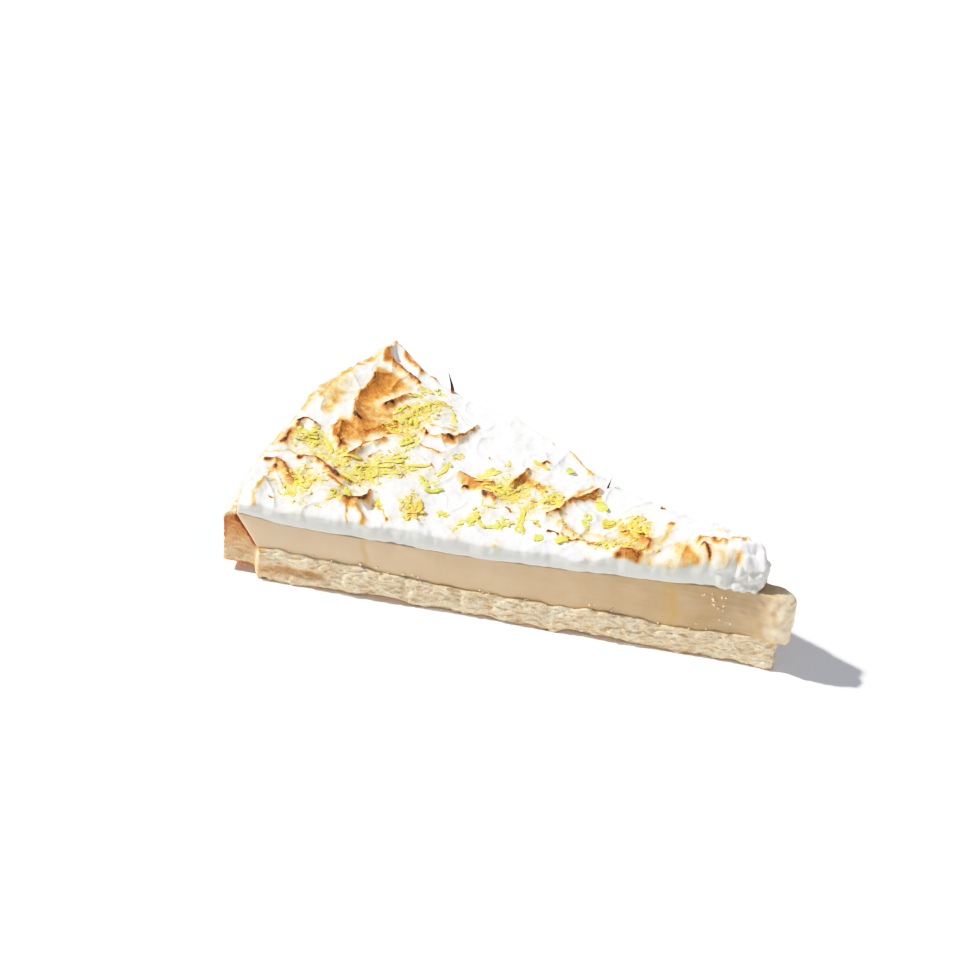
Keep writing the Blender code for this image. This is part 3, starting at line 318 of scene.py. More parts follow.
# Heaps of zest: place, spread along and across, direction in degrees and how many shreds, and tone
# from gold (0) to lime (1)
ZEST_HEAPS = (
    (-40.9, 15, 7.7, 3.5, 80, 15, 0.35), (-41.2, 7, 4.3, 2.9, 73, 6, 0.35),
    (-55.5, -10.7, 6.1, 4.2, 8, 8, 0.5), (-47.8, -14.2, 4.5, 2.9, -13, 4, 0.4),
    (-36.9, -11.2, 6.6, 3.8, 47, 13, 0.35), (-39.7, -17.4, 3.7, 3, -6, 3, 0.45),
    (-40.2, -26.6, 4.2, 1.7, 71, 3, 0.8), (-50.8, -25.8, 4.5, 3.8, 10, 9, 0.4),
    (-48.9, -32.9, 4.3, 1.9, -55, 2, 0.4), (-23, -21.3, 3.8, 2.2, -65, 7, 0.3),
    (-35.8, 0.6, 4.6, 1.4, 88, 2, 0.6), (-29.9, -6.5, 1.6, 1.4, -2, 1, 0.7),
    (-25.5, -9.9, 2.5, 1.3, -68, 1, 0.8), (-43.4, 30, 2.2, 1.1, 23, 1, 0.6),
    (-45.9, 24.4, 2, 1.2, -86, 1, 0.5), (-31, -23.2, 1.7, 0.8, -45, 1, 0.8),
    (-23, -9.2, 2.2, 1.4, -75, 1, 0.7), (-5.6, -2.1, 5.1, 4.4, 33, 14, 0.35),
    (6.1, -1.5, 4.7, 2.9, -64, 7, 0.4), (2.5, -7.4, 2.3, 2, -51, 2, 0.35),
    (-8.6, -16.5, 4.4, 1.5, 64, 4, 0.6), (-0.2, -13.7, 3.6, 1.1, 50, 2, 0.7),
    (13.5, -9.8, 3.1, 0.8, -15, 1, 0.35), (16.7, -4.9, 2.6, 0.6, -63, 1, 0.8),
    (21.3, -1.8, 1.6, 0.9, 47, 1, 0.4), (24.4, -11.1, 1.5, 0.7, -4, 1, 0.7),
    (23.1, -16, 2.8, 1.2, -39, 1, 0.8), (0.1, -22.8, 2.7, 1.5, 77, 2, 0.9),
    (-23.5, 4.5, 1.7, 1.1, 52, 1, 0.4), (-23.9, -1.9, 1.3, 0.8, 89, 1, 0.5),
    (28.7, -2.1, 4.3, 2.9, -56, 7, 0.3), (24.6, -10.5, 1.7, 1.4, -6, 1, 0.5),
    (28.2, -8.4, 3.2, 2.3, -57, 2, 0.4), (35.6, -8.1, 1.7, 0.8, 37, 1, 0.8),
    (46.5, -6.2, 1, 0.5, 18, 1, 0.6), (-9.6, -23, 1.7, 1.3, -47, 1, 0.6),
    (-15.8, -18.5, 1.4, 0.8, -58, 1, 0.5), (-13.6, 2.7, 1.6, 0.8, 13, 1, 0.7),
    (-10.2, 7, 1.4, 0.7, -79, 1, 0.7), (21.3, -1.3, 1, 0.7, 58, 1, 0.4),
    (15.2, 6.1, 2.8, 1.3, -62, 1, 0.5), (-30.3, 14.6, 3.8, 1, -65, 1, 0.6),
    (-3.7, 11.9, 1.1, 0.8, 19, 1, 0.4), (3.8, -13.9, 1.5, 1.1, -2, 1, 0.8),
)

# Larger flat leaves of zest: place, length, width, direction in degrees and tone
ZEST_LEAVES = (
    (8.8, -15.3, 2.6, 3, 18, 0.9), (13.9, -13.2, 3.5, 3.4, 43, 0.85), (17.3, 2.8, 3, 4.2, 57, 0.95),
    (17.9, 14, 4.7, 2.6, -17, 1), (3.1, 14.4, 2.3, 2.6, -34, 0.75), (38.2, 8.3, 2, 1.6, 79, 0.8),
    (18.4, 13.8, 6, 2.6, -29, 1), (12.7, -20.1, 3.3, 2, -43, 0.6),
)

# Zest strips: sizes, and for each kind its rings, lift above the meringue and share of thickness
ZEST_LENGTH = (3.0, 6.6)
ZEST_WIDTH = (1.2, 1.8)
FLAKE_LENGTH = (0.6, 2.4)
FLAKE_WIDTH = (0.35, 1.1)
FLAKES_PER_SHRED = 5.0
ZEST_THICKNESS = 0.22
ZEST_SIDES = 8
ZEST_EDGE_CLEARANCE = 1.9
SHRED_BUILD = (10, (-0.06, 0.2), 1.0)
LEAF_BUILD = (9, (0.15, 0.15), 1.1)
FLAKE_BUILD = (7, (-0.1, 0.12), 0.75)

# Starting numbers of the random draws
ZEST_SEED = 5
ZEST_BUILD_SEED = 11
CRUMB_SEED = 23

# Crumbs near the nose and along the base
NOSE_CRUMBS = 24
BASE_CRUMBS = 26

# Burnt wisps that stand up: place, height, lean along X and Y, and width
WISPS = ((-39.6, 32.6, 4.8, -2, 1, 1.3), (13.9, 13.2, 3, 0.8, 0.9, 0.9))
WISP_SIDES = 8
WISP_STEPS = 10
WISP_ROOT = 0.8

# Camera, fitted to the photograph: the slice seen from the front right and above
VIEW_AZIMUTH = math.radians(23.517)
VIEW_ELEVATION = math.radians(35.707)
VIEW_ROLL = math.radians(6.532)
VIEW_DISTANCE = 704.494
VIEW_TARGET = (-17.4136, 5.9332, 18.0)
LENS = 105.0
SENSOR = 36.0
NEAREST_SEEN = 0.01

# Browned spots on the rim: place, size and depth
RIM_SPOTS = (
    (-66.5, -12.5, 2.2, 0.72), (-68.2, -16.5, 1.8, 0.5), (-68, 8, 2.6, 0.5), (-66.5, 20.5, 2.4, 0.55),
    (-67.5, -4, 2, 0.45), (-65.3, 31.5, 2, 0.6), (-67.6, 14, 2.2, 0.45),
)

# Light: a low sun from the rim's side, and a pale room
SUN_DIRECTION = (0.636, 0.223, -0.739)
SUN_STRENGTH = 4.95
SUN_BLUR = 0.045
SUN_COLOUR = (1.0, 0.985, 0.96)
ROOM_COLOUR = (0.39, 0.405, 0.45)
BACKGROUND_COLOUR = (1.0, 1.0, 1.0)
FLOOR_REACH = 3000

# Film response: scene brightness and what it is shown as, up to the brightest value that is kept apart
BRIGHTEST = 1.6
FILM_RESPONSE = ((0.5, 0.5), (0.7, 0.68), (0.9, 0.815), (1.1, 0.91), (1.3, 0.965), (1.4, 0.985), (1.5, 1))


def ease(start, end, value):
    """Goes smoothly from 0 at the start to 1 at the end."""
    t = np.clip((value - start) / (end - start), 0, 1)
    return t * t * (3 - 2 * t)


def profile(stations, value, blur=3.0):
    """Reads a rounded profile through a few stations."""
    places, heights = zip(*stations)
    return sum(np.interp(value + shift, places, heights) for shift in (-blur, 0, blur)) / 3


def lumpy(x, y, z, size, seed):
    """Smooth noise from about -1 to 1, with lumps of about the given size."""
    x, y, z = np.broadcast_arrays(x, y, z)
    columns = (x.ravel() / size + seed, y.ravel() / size, z.ravel() / size)
    values = [noise.noise(spot) for spot in zip(*(column.tolist() for column in columns))]
    return np.array(values).reshape(x.shape) * 1.6


def from_centre(x, y):
    return np.hypot(CENTRE_X - x, y)


# Outlines seen from above

def half_width(radius, inset, nose):
    """Half the slice's width on the arc of a given radius round the tart's centre."""
    nose_end, nose_width, nose_length = nose
    away = np.maximum(radius, 1.0)
    turn = np.maximum(HALF_ANGLE - np.arcsin(np.clip(inset / away, -0.9, 0.9)), 0)
    cut = away * np.sin(turn) * (radius > 0)
    rise = np.clip((radius - nose_end) / nose_length, 0, 1)
    rounded = nose_width * np.sqrt(1 - (1 - rise) ** 2)
    return (cut + rounded + np.hypot(cut - rounded, 0.9 * rise)) / 2


def on_arc(radius, across, inset, nose):
    """A point on the arc of a radius; across runs from -1 at the front cut to 1 at the back cut."""
    width = half_width(radius, inset, nose)
    y = across * width
    bend = np.maximum(radius, 12.0)
    return CENTRE_X - radius + bend - np.sqrt(bend * bend - y * y), y


def outline(step, nose, inset_at, rim_radius_at):
    """Corner points anticlockwise from the nose: back cut, rim and front cut."""
    nose_end, nose_width, nose_length = nose
    turns = np.linspace(0, math.pi / 2, max(4, round(1.6 * nose_width / step)) + 1)
    rounded = nose_end + nose_length * (1 - np.cos(turns))
    cut_count = round((TART_RADIUS - rounded[-1]) / step)
    rim_count = round(2 * TART_RADIUS * HALF_SIN / step)
    back = [*rounded, *np.linspace(rounded[-1], rim_radius_at(1.0), cut_count + 1)[1:]]
    front = [*rounded[1:], *np.linspace(rounded[-1], rim_radius_at(-1.0), cut_count + 1)[1:]]
    stations = [(radius, 1.0) for radius in back]
    stations += [(rim_radius_at(across), across) for across in np.linspace(1, -1, rim_count + 1)[1:-1]]
    stations += [(radius, -1.0) for radius in front[::-1]]
    spots = [on_arc(radius, across, inset_at(radius, across), nose) for radius, across in stations]
    return np.array(spots, float)


def outward(points, reach):
    """Unit normals of an anticlockwise outline, taken over a few points each way."""
    along = np.roll(points, -reach, axis=0) - np.roll(points, reach, axis=0)
    normals = np.stack([along[:, 1], -along[:, 0]], axis=1)
    return normals / np.linalg.norm(normals, axis=1, keepdims=True)


def evened(values, reach):
    """Running mean along an outline, over a few points each way."""
    return sum(np.roll(values, shift) for shift in range(-reach, reach + 1)) / (2 * reach + 1)


def inside_distance(points, loop, batch=4000):
    """Distance from each point to the outline, negative outside it."""
    start, end = loop, np.roll(loop, -1, axis=0)
    edge = end - start
    squares = np.maximum((edge * edge).sum(1), 1e-12)
    run = np.where(edge[:, 1] == 0, 1e-9, edge[:, 1])
    parts = []
    for first in range(0, len(points), batch):
        some = points[first:first + batch]
        offset_x, offset_y = some[:, 0, None] - start[:, 0], some[:, 1, None] - start[:, 1]
        t = np.clip((offset_x * edge[:, 0] + offset_y * edge[:, 1]) / squares, 0, 1)
        distance = np.hypot(offset_x - t * edge[:, 0], offset_y - t * edge[:, 1]).min(axis=1)
        crossing = (start[:, 1] > some[:, 1, None]) != (end[:, 1] > some[:, 1, None])
        inside = (crossing & (offset_x < offset_y / run * edge[:, 0])).sum(axis=1) % 2 == 1
        parts.append(np.where(inside, distance, -distance))
    return np.concatenate(parts)


def triangular_grid(loop, step, margin):
    """Evenly spread points inside an outline, at least a margin away from it."""
    low, high = loop.min(axis=0), loop.max(axis=0)
    rows = np.arange(low[1], high[1], step * math.sqrt(3) / 2)
    columns = np.arange(low[0], high[0], step)
    x = (columns[None, :] + step / 2 * (np.arange(len(rows)) % 2)[:, None]).ravel()
    y = np.repeat(rows, len(columns))
    spots = np.stack([x, y], axis=1)
    spots = spots[np.abs(y) < from_centre(x, y) * HALF_SIN + 1]
    return spots[inside_distance(spots, loop) > margin]


def along_path(x, y, path):
    """Distance to a path, the side of it (1 on its left) and the share of its length passed."""
    lengths = [math.dist(a, b) for a, b in zip(path, path[1:])]
    distance, side, share = np.full(x.shape, 1e6), np.zeros(x.shape), np.zeros(x.shape)
    run = 0.0
    for (ax, ay), (bx, by), length in zip(path, path[1:], lengths):
        ux, uy = (bx - ax) / length, (by - ay) / length
        t = np.clip((x - ax) * ux + (y - ay) * uy, 0, length)
        here = np.hypot(x - ax - t * ux, y - ay - t * uy)
        nearer = here < distance
        distance = np.where(nearer, here, distance)
        side = np.where(nearer, np.sign(ux * (y - ay) - uy * (x - ax)), side)
        share = np.where(nearer, (run + t) / sum(lengths), share)
        run += length
    return distance, side, share


# Surfaces

def base_top(x, y):
    """Top of the base, uneven along the cuts."""
    return profile(BASE_TOP, from_centre(x, y), 4.0) + 0.35 * lumpy(x, y, 0, 3.4, 71)


def filling_surface(x, y):
    climb = TIP_CLIMB * (np.clip((x - TIP_CLIMB_START_X) / (CENTRE_X - TIP_CLIMB_START_X), 0, 1)) ** 1.3
    creep = (RIM_HEIGHT - FILLING_HEIGHT) * ease(CREEP_START_RADIUS, CREEP_END_RADIUS, from_centre(x, y))
    droop = TIP_DROOP * ease(CENTRE_X - 3, CENTRE_X + 1, x)
    return FILLING_HEIGHT + climb + creep - droop


def rim_crags(x, y):
    """Height lost by the baked rim; only the bare front part is deeply pitted."""
    bare = 1 - ease(-8, 2, y)
    coarse = (0.25 + 0.65 * bare) * np.clip(lumpy(x, y, 0, 3.6, 11) + 0.4, 0, 1.2)
    return coarse + 0.35 * np.clip(lumpy(x, y, 0, 1.3, 13) - 0.1, 0, 1)


def crust_surface(x, y):
    """Top of the shortbread: a nearly flat floor, the slanted inner wall and a rounded rim."""
    radius = from_centre(x, y)
    wall = np.interp(radius, (WALL_FOOT_RADIUS, WALL_TOP_RADIUS), (BASE_THICKNESS, WALL_TOP_HEIGHT))
    floor = base_top(x, y)
    wall = np.where(radius < WALL_FOOT_RADIUS, floor, np.maximum(wall, floor))
    middle = WALL_TOP_RADIUS + RIM_WIDTH / 2
    shoulder = np.clip((radius - middle) / (RIM_WIDTH / 2), -1, 1)
    rim = WALL_TOP_HEIGHT - 0.9 * np.clip(shoulder, 0, 1) ** 2 - rim_crags(x, y)
    return np.where(radius < WALL_TOP_RADIUS, wall, np.minimum(wall, rim))


def crust_underside(x, y):
    """Flat floor; under the wall the outer edge is rounded and the front corner is broken off."""
    radius = from_centre(x, y)
    from_front = (CENTRE_X - x) * HALF_SIN + y * HALF_COS
    corner = 2.9 * (1 - ease(5, 12, from_front)) * ease(WALL_FOOT_RADIUS, WALL_FOOT_RADIUS + 1, radius)
    ragged = 0.5 * np.clip(lumpy(x, y, 0, 2.2, 33), 0, 1)
    for centre, half, height in UNDER_ARCS:
        ragged = np.maximum(ragged, height * (1 - ((radius - centre) / half) ** 2))
    ragged = ragged * (1 - ease(2.5, 6.0, np.abs(from_front)))
    return np.maximum(np.maximum(corner, ragged), 1.3 * ease(TART_RADIUS - 2.5, TART_RADIUS, radius))


def ridge_height(x, y, ridge):
    """Height of a spooned ridge with a sharp crest, tapering between its ends and leaning to one side."""
    start_height, end_height, width, lean, path = ridge
    distance, side, share = along_path(x, y, path)
    span = width * (1 + lean * side)
    crest = start_height + (end_height - start_height) * share
    round_part = np.exp(-(distance / span) ** 2)
    sharp_part = np.exp(-distance / (0.6 * span))
    return crest * (0.55 * round_part + 0.45 * sharp_part)


def spooned_folds(x, y):
    """Soft crests left by the spoon: thin curved lines where warped noise changes sign."""
    warp_x = x + 5.0 * lumpy(x, y, 0, 14.0, 81)
    warp_y = y + 5.0 * lumpy(x, y, 0, 14.0, 83)
    folds = 1 - np.abs(lumpy(warp_x, warp_y, 0, 8.5, 85))
    return 0.55 * np.clip(folds, 0, 1) ** 6


def meringue_thickness(x, y):
    radius = from_centre(x, y)
    across = np.clip(y / (radius * HALF_SIN), -1, 1)
    edge = np.where(across > 0, profile(BACK_THICKNESS, radius), profile(FRONT_THICKNESS, radius))
    bulge = across ** 2
    thickness = profile(CROWN_THICKNESS, radius) * (1 - bulge) + edge * bulge
    thickness = thickness + 0.9 * lumpy(x, y, 0, 13.0, 3) + 0.5 * lumpy(x, y, 0, 6.0, 7)
    rough = 1 + 2.2 * (1 - ease(14, 34, radius))
    thickness = thickness + rough * (0.18 * lumpy(x, y, 0, 2.4, 9) + 0.09 * lumpy(x, y, 0, 1.0, 10))
    thickness = thickness + spooned_folds(x, y)
    for ridge in RIDGES.values():
        thickness = thickness + ridge_height(x, y, ridge)
    for lump_x, lump_y, size, height in LUMPS:
        thickness = thickness + height * np.exp(-((x - lump_x) ** 2 + (y - lump_y) ** 2) / size ** 2)
    return np.maximum(thickness, 1.2)


def shoulder_share(depth):
    """Share of the full thickness at a given distance inside the edge."""
    rise = np.clip(depth / SHOULDER, 0, 1)
    return SHOULDER_START + (1 - SHOULDER_START) * np.sqrt(1 - (1 - rise) ** 2)


# Torch marks

def near_path(x, y, path, margin):
    """Which points lie within a margin of the box round a path."""
    xs, ys = zip(*path)
    return (x > min(xs) - margin) & (x < max(xs) + margin) & (y > min(ys) - margin) & (y < max(ys) + margin)


def wobble(x, y):
    """Shifts flat places a little, so that painted edges come out irregular."""
    return x + 0.45 * lumpy(x, y, 0, 2.1, 91), y + 0.45 * lumpy(x, y, 0, 2.1, 93)


def torch_marks(x, y):
    """How burnt the meringue is: 0 white, about 0.4 orange, over 1 black."""
    x, y = wobble(x, y)
    burnt, clear = np.zeros(x.shape), np.ones(x.shape)
    for core, core_width, field, left, right, path in TORCH:
        near = near_path(x, y, path, 3 * max(core_width, left, right))
        distance, side, _ = along_path(x[near], y[near], path)
        reach = np.where(side > 0, left, right)
        line = core * np.exp(-(distance / (LINE_SHARE * core_width)) ** 2)
        burnt[near] = np.maximum(burnt[near], line)
        clear[near] *= 1 - FIELD_SHARE * field * np.exp(-(distance / reach) ** 2)
    mottling = 1 + 0.22 * lumpy(x, y, 0, 1.7, 95) + 0.14 * lumpy(x, y, 0, 0.7, 97)
    lapped = ease(133.5, 137.5, from_centre(x, y) + 0.8 * lumpy(x, y, 0, 3.5, 98)) * ease(-14, -4, y)
    toast = np.maximum((1 - clear) * mottling, lapped * (0.30 + 0.20 * lumpy(x, y, 0, 2.3, 96)))
    return np.maximum(burnt, np.clip(toast, 0, 0.52))


def torch_relief(x, y):
    """Small crests under the burnt lines, which brown because they stand proud."""
    height = np.zeros(x.shape)
    for core, core_width, _, _, _, path in TORCH:
        if core < 0.5 or core_width > 1.0:
            continue
        near = near_path(x, y, path, 3 * core_width)
        distance, _, _ = along_path(x[near], y[near], path)
        height[near] = np.maximum(height[near], 0.4 * core * np.exp(-(distance / (1.2 * core_width)) ** 2))
    return height


def zest_stain(x, y):
    """Yellow tint that the zest leaves round its heaps."""
    clear = np.ones(x.shape)
    for heap_x, heap_y, spread_along, spread_across, direction, count, _ in ZEST_HEAPS:
        turn = math.radians(direction)
        along = (x - heap_x) * math.cos(turn) + (y - heap_y) * math.sin(turn)
        across = (y - heap_y) * math.cos(turn) - (x - heap_x) * math.sin(turn)
        reach = (along / (1.4 * spread_along)) ** 2 + (across / (1.4 * spread_across)) ** 2
        clear *= 1 - min(0.9, 0.35 + 0.08 * count) * np.exp(-reach)
    return np.clip(1.35 * (1 - clear) * (1 + 0.35 * lumpy(x, y, 0, 2.0, 99)), 0, 1)


# Mesh building

def make_object(name, spots, faces, limits=cad_box):
    """A smooth mesh object from points in millimetres, kept inside the part's box."""
    mesh = bpy.data.meshes.new(name)
    spots = np.asarray(spots, float) * MM
    spots = np.clip(spots, *limits) if limits else spots
    mesh.from_pydata(spots.tolist(), [], faces)
    mesh.shade_smooth()
    body = bpy.data.objects.new(name, mesh)
    bpy.context.scene.collection.objects.link(body)
    return body


def paint(body, name, values):
    """Stores one number for each vertex, for the materials to read."""
    stored = body.data.attributes.new(name, "FLOAT", "POINT").data
    stored.foreach_set("value", np.asarray(values, np.float32))


def places(body):
    """A body's points in millimetres, as three arrays."""
    spots = np.empty(len(body.data.vertices) * 3)
    body.data.vertices.foreach_get("co", spots)
    return spots.reshape(-1, 3).T / MM


def cap_triangles(loop, inner):
    """Triangles over an outline and the points inside it; a crossing is replaced by the nearest point."""
    flat = np.vstack([loop, inner])
    edges = [(i, (i + 1) % len(loop)) for i in range(len(loop))]
    corners = [Vector(spot) for spot in flat]
    made, _, faces, sources, _, _ = geometry.delaunay_2d_cdt(corners, edges, [], 1, 1e-6)
    nearest = [found[0] if found else int(((flat - spot) ** 2).sum(axis=1).argmin())
               for found, spot in zip(sources, made)]
    triangles = [[nearest[corner] for corner in face] for face in faces]
    return [triangle for triangle in triangles if len(set(triangle)) == 3]


def bands(count, rings, first=0):
    """Quads between neighbouring rings of points, numbered from the first one."""
    faces = []
    for lower in range(first, first + (rings - 1) * count, count):
        upper = lower + count
        faces += [(lower + i, lower + (i + 1) % count, upper + (i + 1) % count, upper + i)
                  for i in range(count)]
    return faces


def tube(count, rings):
    """Faces of a closed tube: quads between its rings and a face over each end."""
    last = (rings - 1) * count
    return [*bands(count, rings), tuple(range(count))[::-1], tuple(range(last, last + count))]


def joined(name, parts):
    """One object from several sets of points and faces."""
    faces, total = [], 0
    for spots, part_faces in parts:
        faces += [tuple(corner + total for corner in face) for face in part_faces]
        total += len(spots)
    return make_object(name, np.vstack([spots for spots, _ in parts]), faces)


def stacked_body(name, rings, top_inner):
    """Closed body from rings of 3-D points; the first one bounds the floor and the last one the top."""
    count = len(rings[0])
    top_start = (len(rings) - 1) * count
    faces = bands(count, len(rings))
    faces += [triangle[::-1] for triangle in cap_triangles(rings[0][:, :2], np.empty((0, 2)))]
    faces += [[corner + top_start for corner in triangle]
              for triangle in cap_triangles(rings[-1][:, :2], top_inner[:, :2])]
    return make_object(name, np.vstack([*rings, top_inner]), faces)


def lifted(spots, surface):
    """Adds the surface's height to flat points."""
    return np.column_stack([spots, surface(*spots.T)])


def rim_zone(loop, step, inner_radius, margin):
    """Fine points along the rim only, kept clear of the outline."""
    spots = []
    for radius in np.arange(inner_radius, TART_RADIUS, step):
        count = round(radius * SLICE_ANGLE / step)
        turns = np.linspace(-HALF_ANGLE, HALF_ANGLE, count + 1)
        spots.append(np.stack([CENTRE_X - radius * np.cos(turns), radius * np.sin(turns)], axis=1))
    spots = np.vstack(spots)
    return spots[inside_distance(spots, loop) > margin]


# Crust

def crust_inset(radius, across):
    """The rim's wall is cut further back than the craggy base."""
    behind = WALL_CUT_INSET if across < 0 else WALL_CUT_INSET / 3
    return behind * float(ease(WALL_FOOT_RADIUS - 0.6, WALL_FOOT_RADIUS + 0.8, radius))


def crumb_pits(x, y, z):
    """Small holes between the crumbs, from 0 to 1."""
    wide = ease(0.55, 0.9, lumpy(x, y, 1.5 * z, 2.4, 23))
    small = ease(0.35, 0.8, lumpy(x, y, 1.3 * z, 1.0, 25))
    return np.clip(0.8 * wide + 0.5 * small, 0, 1)


def broken(x, y, z, size, seed):
    """Facets of broken shortbread: how far each stands out, and the crevices between them (0 to 1)."""
    proud, crevices = [], []
    for spot in zip(x / size + seed, y / size, z / size):
        distances, corners = noise.voronoi(spot)
        tilt = noise.cell_vector(corners[0])
        lean = sum((tilt[axis] - 0.5) * (spot[axis] - corners[0][axis]) for axis in range(3))
        proud.append(noise.cell(corners[0]) - 0.5 + 1.2 * lean)
        crevices.append(distances[1] - distances[0])
    return np.array(proud), 1 - ease(0.0, 0.16, np.array(crevices))


def crust_crags(loop, height):
    """Outward shift of the broken shortbread at one height, and its crevices."""
    x, y = loop.T
    radius = from_centre(x, y)
    cut = 1 - ease(TART_RADIUS - 4, TART_RADIUS - 0.5, radius)
    base = 1 - ease(WALL_FOOT_RADIUS, WALL_FOOT_RADIUS + 2, radius)
    large, gaps = broken(x, y, height, 4.6, 21)
    small, cracks = broken(x, y, height, 1.7, 27)
    coarse = 0.35 * lumpy(x, y, height, 9.0, 27) + (0.16 + 0.04 * base) * large + (0.05 + 0.12 * base) * small
    undercut = -0.9 * (1 - ease(0, 2.4, height)) * (0.6 + 0.6 * lumpy(x, y, 0, 7.0, 31))
    crevices = np.maximum(gaps, 0.5 * cracks) * (0.2 + 0.8 * base)
    crevices = crevices * ease(-0.2, 0.5, lumpy(x, y, height, 4.0, 24))
    grains = 0.15 * lumpy(x, y, height, 1.3, 29) + 0.2 * lumpy(x, y, height, 0.75, 30)
    notch = -0.9 * np.exp(-((height - NOTCH_HEIGHT) / 1.2) ** 2)
    notch = notch * ease(NOTCH_START, NOTCH_START + 5, radius) * (1 - ease(128, 130, radius))
    shift = np.clip(cut * (coarse + notch + np.minimum(undercut, 0)), -1.9, 0.9)
    shift = shift + 0.5 * (1 - cut) * coarse
    pits = 0.4 * crumb_pits(x, y, height) + 0.2 * crevices
    return shift - cut * pits + (0.8 + 0.2 * cut) * grains, crevices


def build_crust():
    loop = outline(CRUST_STEP, CRUST_NOSE, crust_inset, lambda across: TART_RADIUS)
    normals = outward(loop, 3)
    x, y = loop.T
    radius = from_centre(x, y)
    floor_height, top_height = crust_underside(x, y), crust_surface(x, y)
    flare = 0.4 * ease(TART_RADIUS - 1, TART_RADIUS, radius)
    rings, crevices = [], []
    for level in np.linspace(0, 1, round(RIM_HEIGHT / WALL_STEP) + 1):
        height = floor_height + (top_height - floor_height) * level
        shift, gaps = crust_crags(loop, height)
        shift = evened(shift, 1 if 0 < level < 1 else 6)
        rings.append(np.column_stack([loop + normals * (shift - flare * (1 - level))[:, None], height]))
        crevices.append(gaps)
    top_inner = lifted(rim_zone(rings[-1][:, :2], CRUST_STEP, WALL_TOP_RADIUS - 2.5, 0.3), crust_surface)
    crevices.append(np.zeros(len(top_inner)))
    return stacked_body("crust_baked", rings, top_inner), np.concatenate(crevices)


def paint_crust(body, crevices):
    x, y, z = places(body)
    radius = from_centre(x, y)
    outer = ease(TART_RADIUS - 1.5, TART_RADIUS - 0.4, radius)
    wall = ease(WALL_FOOT_RADIUS - 3, WALL_FOOT_RADIUS + 1, radius)
    climb = (z - BASE_THICKNESS) / (RIM_HEIGHT - BASE_THICKNESS)
    slant = WALL_FOOT_RADIUS + climb * (WALL_TOP_RADIUS - WALL_FOOT_RADIUS)
    behind = radius - slant - 0.8 - 0.9 * ease(12, 17, z) + 0.3 * lumpy(x, y, z, 1.4, 38)
    caramel = np.exp(-(np.maximum(behind, 0) / 0.7) ** 2)
    caramel = caramel * ease(BASE_THICKNESS - 1, BASE_THICKNESS + 0.5, z)
    rim = ease(RIM_HEIGHT - 3.5, RIM_HEIGHT - 0.6, z)
    rim = rim * ease(WALL_TOP_RADIUS - 1, WALL_TOP_RADIUS + 0.6, radius)
    back_rim = ease(-20, -6, y)
    patches = 0.5 + 0.5 * lumpy(x, y, z, 5.0, 35)
    bake = 0.13 + 0.05 * lumpy(x, y, z, 2.6, 36)
    top = ease(-1.1, -0.2, z - crust_surface(x, y)) * ease(12, 16, z)
    bake = bake + (1 - top) * (wall * (0.06 + 0.22 * ease(4, 15, z)) + outer * (0.08 + 0.12 * patches))
    bake = bake + rim * back_rim * (0.14 + 0.25 * np.clip(patches, 0, 1))
    bake = bake + 0.16 * wall * (1 - top) * np.exp(-(behind / 3.5) ** 2) * ease(9, 13, z)
    bubbles = ease(0.35, 0.75, lumpy(x, y, z, 1.5, 37))
    bake = bake + top * (1 - back_rim) * 0.3 * bubbles
    for spot_x, spot_y, size, depth in RIM_SPOTS:
        bake = np.maximum(bake, depth * np.exp(-((x - spot_x) ** 2 + (y - spot_y) ** 2) / size ** 2))
    bare_top = top * ease(WALL_TOP_RADIUS, WALL_TOP_RADIUS + 0.6, radius)
    bake = bake * (1 - 0.9 * bare_top * (1 - back_rim) * (1 - bubbles))
    bake = np.maximum(bake, caramel * (0.78 + 0.16 * patches) * wall * (1 - outer) * (1 - bare_top))
    notch = ease(NOTCH_START, NOTCH_START + 7, radius + 2 * lumpy(x, y, z, 3.0, 39))
    notch = notch * np.exp(-((z - NOTCH_TINT_HEIGHT + 0.8 * patches) / 1.6) ** 2)
    bake = bake + 0.17 * notch * (1 - outer) * (1 - 0.6 * wall)
    # The underside is browned like a baked bottom; under the wall, over the broken-off corner, it is darker
    # still: painted shade for the hollow there.
    under = 1 - ease(0.1, 0.5, z - crust_underside(x, y))
    bake = np.maximum(bake, (0.3 + 0.5 * wall) * under * (1 - outer))
    paint(body, "bake", np.clip(bake, 0, 1))
    gap_line = np.exp(-((z - base_top(x, y)) / 0.45) ** 2) * (1 - wall)
    gap_line = gap_line * ease(-0.4, 0.4, lumpy(x, y, 0, 3.0, 40))
    # The pits and crevices are darkened: painted shade in the holes; gap_line is a dashed golden line along
    # the base's top.
    pits = np.maximum(0.9 * crumb_pits(x, y, z), 0.5 * crevices) * (1 - 0.6 * outer) + 0.35 * gap_line
    paint(body, "pit_shade_and_line", np.clip(pits, 0, 1))


# Filling

def filling_rim_radius(height):
    """The filling meets the slanted inner wall."""
    slope = (WALL_TOP_RADIUS - WALL_FOOT_RADIUS) / (WALL_TOP_HEIGHT - BASE_THICKNESS)
    return WALL_FOOT_RADIUS + (height - BASE_THICKNESS) * slope - 1.15 * GAP


